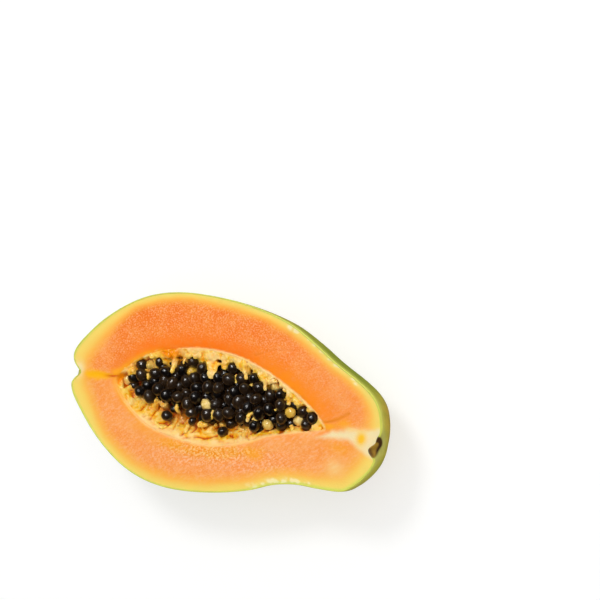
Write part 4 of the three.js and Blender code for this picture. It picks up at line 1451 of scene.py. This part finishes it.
# %% The wet lining
def lining_material():
    """Wet torn lining, soft and glossy: painted light on its golden crests, painted shade in orange
    creases.
    """
    material, add = new_material("papaya_lining_torn_wet")
    place = place_in_mm(add)
    colour = lining_colour(add, place)
    wrinkle = add("ShaderNodeTexNoise", {
        "Vector": place, "Scale": 1 / WRINKLE_SIZE, "Detail": 3.0, "Roughness": 0.6})
    bump = add("ShaderNodeBump", {"Height": wrinkle, "Strength": 0.35, "Distance": 1.2 * MM})
    surface = add("ShaderNodeBsdfPrincipled", {
        "Base Color": colour, "Roughness": 0.3, "IOR": 1.36, "Normal": bump,
        "Subsurface Weight": 0.25, "Subsurface Radius": SOFT_DEPTHS, "Subsurface Scale": SOFT_DEPTH * MM})
    add("ShaderNodeOutputMaterial", {"Surface": surface})
    return material


# %% Seeds in their wet coats
BLOTCH_SIZE, COAT_WRINKLE = 2.2, 1.3


def seed_material(name, dark, light, edge, coat):
    """A seed in a clear, wet, wrinkled coat; seen edge on, its coat's colour is painted on as a rim sheen.
    """
    material, add = new_material(name)
    place = place_in_mm(add)
    blotch = add("ShaderNodeTexNoise", {
        "Vector": place, "Scale": 1 / BLOTCH_SIZE, "Detail": 3.0, "Roughness": 0.6})
    tone = add("ShaderNodeAttribute", attribute_name="tone").outputs["Fac"]
    mixed = add("ShaderNodeMath", {0: blotch, 1: tone}, operation="MULTIPLY")
    # Painted rim sheen: the edge colour is mixed in by how edge-on the surface is seen.
    rim_sheen_share = add("ShaderNodeLayerWeight", {"Blend": 0.5}).outputs["Facing"]
    colour = lay_patterns(add, dark, [(mixed, 0.1, 0.65, 1.0, light), (rim_sheen_share, 0.35, 0.95, 0.85, edge)])
    wrinkle = add("ShaderNodeTexNoise", {
        "Vector": place, "Scale": 1 / COAT_WRINKLE, "Detail": 2.5, "Distortion": 0.6})
    bump = add("ShaderNodeBump", {"Height": wrinkle, "Strength": 0.5, "Distance": 0.3 * MM})
    surface = add("ShaderNodeBsdfPrincipled", {
        "Base Color": colour, "Roughness": 0.35, "IOR": 1.42, "Normal": bump,
        "Coat Weight": coat, "Coat Roughness": 0.06, "Coat IOR": 1.45, "Coat Normal": bump})
    add("ShaderNodeOutputMaterial", {"Surface": surface})
    return material


peel_finish = peel_material()
flesh_finish = flesh_material()
lining_finish = lining_material()
# The edge colours are painted rim sheen, partly the coat's own colour: brown on ripe seeds, deeper gold on
# pale ones.
ripe_finish = seed_material("ripe_seed_in_wet_coat", "#090504", "#34220f", "#553818", 1.0)
pale_finish = seed_material("unripe_seed_in_wet_coat", "#dcac30", "#f8dc8c", "#b67c10", 0.9)
print("finishes:", len(bpy.data.materials))

# %% Put the finishes on the flesh and the peel
CORK_REACH = 8
LIME_STRENGTH, LIME_SPAN = 0.75, (0.5, 5)
CUT_EDGE = 0.05


def paint_peel():
    """Keeps where the peel is corky by the stalk, lime near the cut with painted light, and the cut edge.
    """
    points = points_of(peel.data)
    away = np.hypot(points[:, 1] - SCAR[1], points[:, 2] - CUT_Z)
    stem = smoothstep(points[:, 0], 55, 70)
    # The peel just under the cut is painted lighter lime: partly its own colour, partly painted light on
    # its top.
    keep_attributes(
        peel, corky=np.exp(-((away / CORK_REACH) ** 6)) * stem,
        lime=LIME_STRENGTH * (1 - smoothstep(CUT_Z - points[:, 2], *LIME_SPAN)),
        cut=(points[:, 2] > CUT_Z - CUT_EDGE).astype(float))
    peel.data.materials.append(peel_finish)


flesh.data.materials.append(flesh_finish)
paint_peel()

# %% [markdown]
# ## Growing the lining and the seeds
# A tree of Geometry Nodes sets the finish of what it makes, so the lining and the seeds are grown
# only now. The ripe seeds on top swell a little past their places, until their coats touch.

# %% Grow the lining and the seeds
RIPE_SWELL = 1.12
PALE_SHARE = 0.97

lining = build_lining(lining_finish)
seed_heap = seeds_piece("seed_heap_wet", ripe, RIPE_SWELL, ripe_finish, dent_mm=1)
seed_deep = seeds_piece("seed_heap_under", deep, 1, ripe_finish, dent_mm=0.6, sides=10, rings=6)
pale_seeds = [seeds_piece(f"pale_seed_wet_{k + 1}", [seed], PALE_SHARE, pale_finish, 2.2, 2.2)
              for k, seed in enumerate(pales)]
stray_seeds = [seeds_piece(f"stray_seed_wet_{k + 1}", [seed], 1, ripe_finish, dent_mm=0.9)
               for k, seed in enumerate(strays)]
for piece in (lining, seed_heap, seed_deep):
    print(piece.name, len(piece.data.polygons), "faces")

# %% Fix every piece to the frame
rows = [
    (peel, "peel", "fruit"), (flesh, "flesh", "fruit"), (lining, "flesh", "fruit"),
    (seed_heap, "ripe_seed", "seed_heap"), (seed_deep, "ripe_seed", "seed_heap"),
]
rows += [(piece, "pale_seed", f"pale_seed_{k + 1}") for k, piece in enumerate(pale_seeds)]
rows += [(piece, "ripe_seed", f"stray_seed_{k + 1}") for k, piece in enumerate(stray_seeds)]
for piece, slot, node in rows:
    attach(piece, "root")
    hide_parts(node)
print("pieces:", len(rows))

# %% [markdown]
# ## Studio
# A white sweep, a broad soft light from above and a smaller one from the upper left. One more
# softbox there is seen in reflections alone, and gives each wet seed its small highlight.

# %% The camera's place
VIEW_TILT = math.radians(26)
VIEW_TURN = math.radians(12.7)
VIEW_DISTANCE = 0.80969
AIM = Vector((4.9, 4.4, CUT_Z)) * MM
AIM_PIXEL = (230, 393)
PICTURE = 600
LENS, SENSOR = 100, 36
level = Vector((math.cos(VIEW_TURN), math.sin(VIEW_TURN), 0))
upright = Vector((0, 0, 1))
view_right = level * math.cos(VIEW_TILT) - upright * math.sin(VIEW_TILT)
view_up = Vector((-math.sin(VIEW_TURN), math.cos(VIEW_TURN), 0))
view_back = level * math.sin(VIEW_TILT) + upright * math.cos(VIEW_TILT)


def add_camera():
    """A camera turned so that the point it aims at appears at its pixel."""
    data = bpy.data.cameras.new("camera")
    data.lens, data.sensor_width = LENS, SENSOR
    camera = bpy.data.objects.new("camera", data)
    bpy.context.scene.collection.objects.link(camera)
    focal = PICTURE * LENS / SENSOR
    across, down = ((AIM_PIXEL[k] - PICTURE / 2) / focal for k in (0, 1))
    yaw = -math.atan(across)
    forward = -view_back * math.cos(yaw) + view_right * math.sin(yaw)
    right = view_right * math.cos(yaw) + view_back * math.sin(yaw)
    pitch = math.atan(down * math.cos(yaw))
    up = view_up * math.cos(pitch) - forward * math.sin(pitch)
    forward = forward * math.cos(pitch) + view_up * math.sin(pitch)
    turn = Matrix((right, up, -forward)).transposed().to_4x4()
    camera.matrix_world = Matrix.Translation(AIM + view_back * VIEW_DISTANCE) @ turn
    bpy.context.scene.camera = camera


add_camera()
print("camera:", VIEW_DISTANCE, "m from the fruit")

# %% The floor
FLOOR = 20000
FLOOR_Z = -0.02


def add_floor():
    corners = [(-FLOOR, -FLOOR), (FLOOR, -FLOOR), (FLOOR, FLOOR), (-FLOOR, FLOOR)]
    floor = make_piece("floor", [(x, y, FLOOR_Z) for x, y in corners], [(0, 1, 2, 3)])
    material, add = new_material("white_studio_sweep")
    surface = add("ShaderNodeBsdfPrincipled", {
        "Base Color": "#b4b4b4", "Roughness": 0.9, "Specular IOR Level": 0.1,
        "Emission Color": "#ffffff", "Emission Strength": 0.57})
    add("ShaderNodeOutputMaterial", {"Surface": surface})
    floor.data.materials.append(material)
    floor.visible_glossy = False


add_floor()

# %% Lights
KEY_SIDE = -view_right * 0.45 + view_up * 0.5 + view_back * 0.8
OVERHEAD_SIDE = -view_right * 0.1 + view_up * 0.15 + view_back


def add_softbox(name, toward, distance, size, power, shiny, soft):
    """A round softbox, seen in reflections where shiny, and lighting dull surfaces where soft."""
    data = bpy.data.lights.new(name, "AREA")
    data.shape, data.size, data.energy = "DISK", size, power
    light = bpy.data.objects.new(name, data)
    bpy.context.scene.collection.objects.link(light)
    light.location = AIM + toward.normalized() * distance
    light.rotation_euler = toward.to_track_quat("Z", "Y").to_euler()
    light.visible_glossy = shiny
    light.visible_diffuse = soft


add_softbox("key", KEY_SIDE, 1.1, 0.3, 4.2, shiny=False, soft=True)
add_softbox("sparkle", KEY_SIDE, 1.1, 0.42, 12, shiny=True, soft=False)
add_softbox("overhead", OVERHEAD_SIDE, 1.6, 1.6, 8, shiny=False, soft=True)

# %% The room
def add_room():
    """Soft white light from all round, strongest at the horizon, where the sweep ends."""
    world = bpy.data.worlds.new("studio")
    bpy.context.scene.world = world
    world.use_nodes = True
    world.node_tree.nodes.clear()
    add = partial(add_node, world.node_tree)
    toward = add("ShaderNodeSeparateXYZ", {0: add("ShaderNodeTexCoord").outputs["Generated"]})
    strength = add("ShaderNodeMapRange", {
        "Value": toward.outputs["Z"], "From Min": 0.1, "From Max": 0.5, "To Min": 1.0, "To Max": 0.46})
    glow = add("ShaderNodeBackground", {"Color": "#ffffff", "Strength": strength})
    add("ShaderNodeOutputWorld", {"Surface": glow})
    world.cycles_visibility.glossy = False


add_room()
bpy.context.scene.view_settings.view_transform = "Standard"
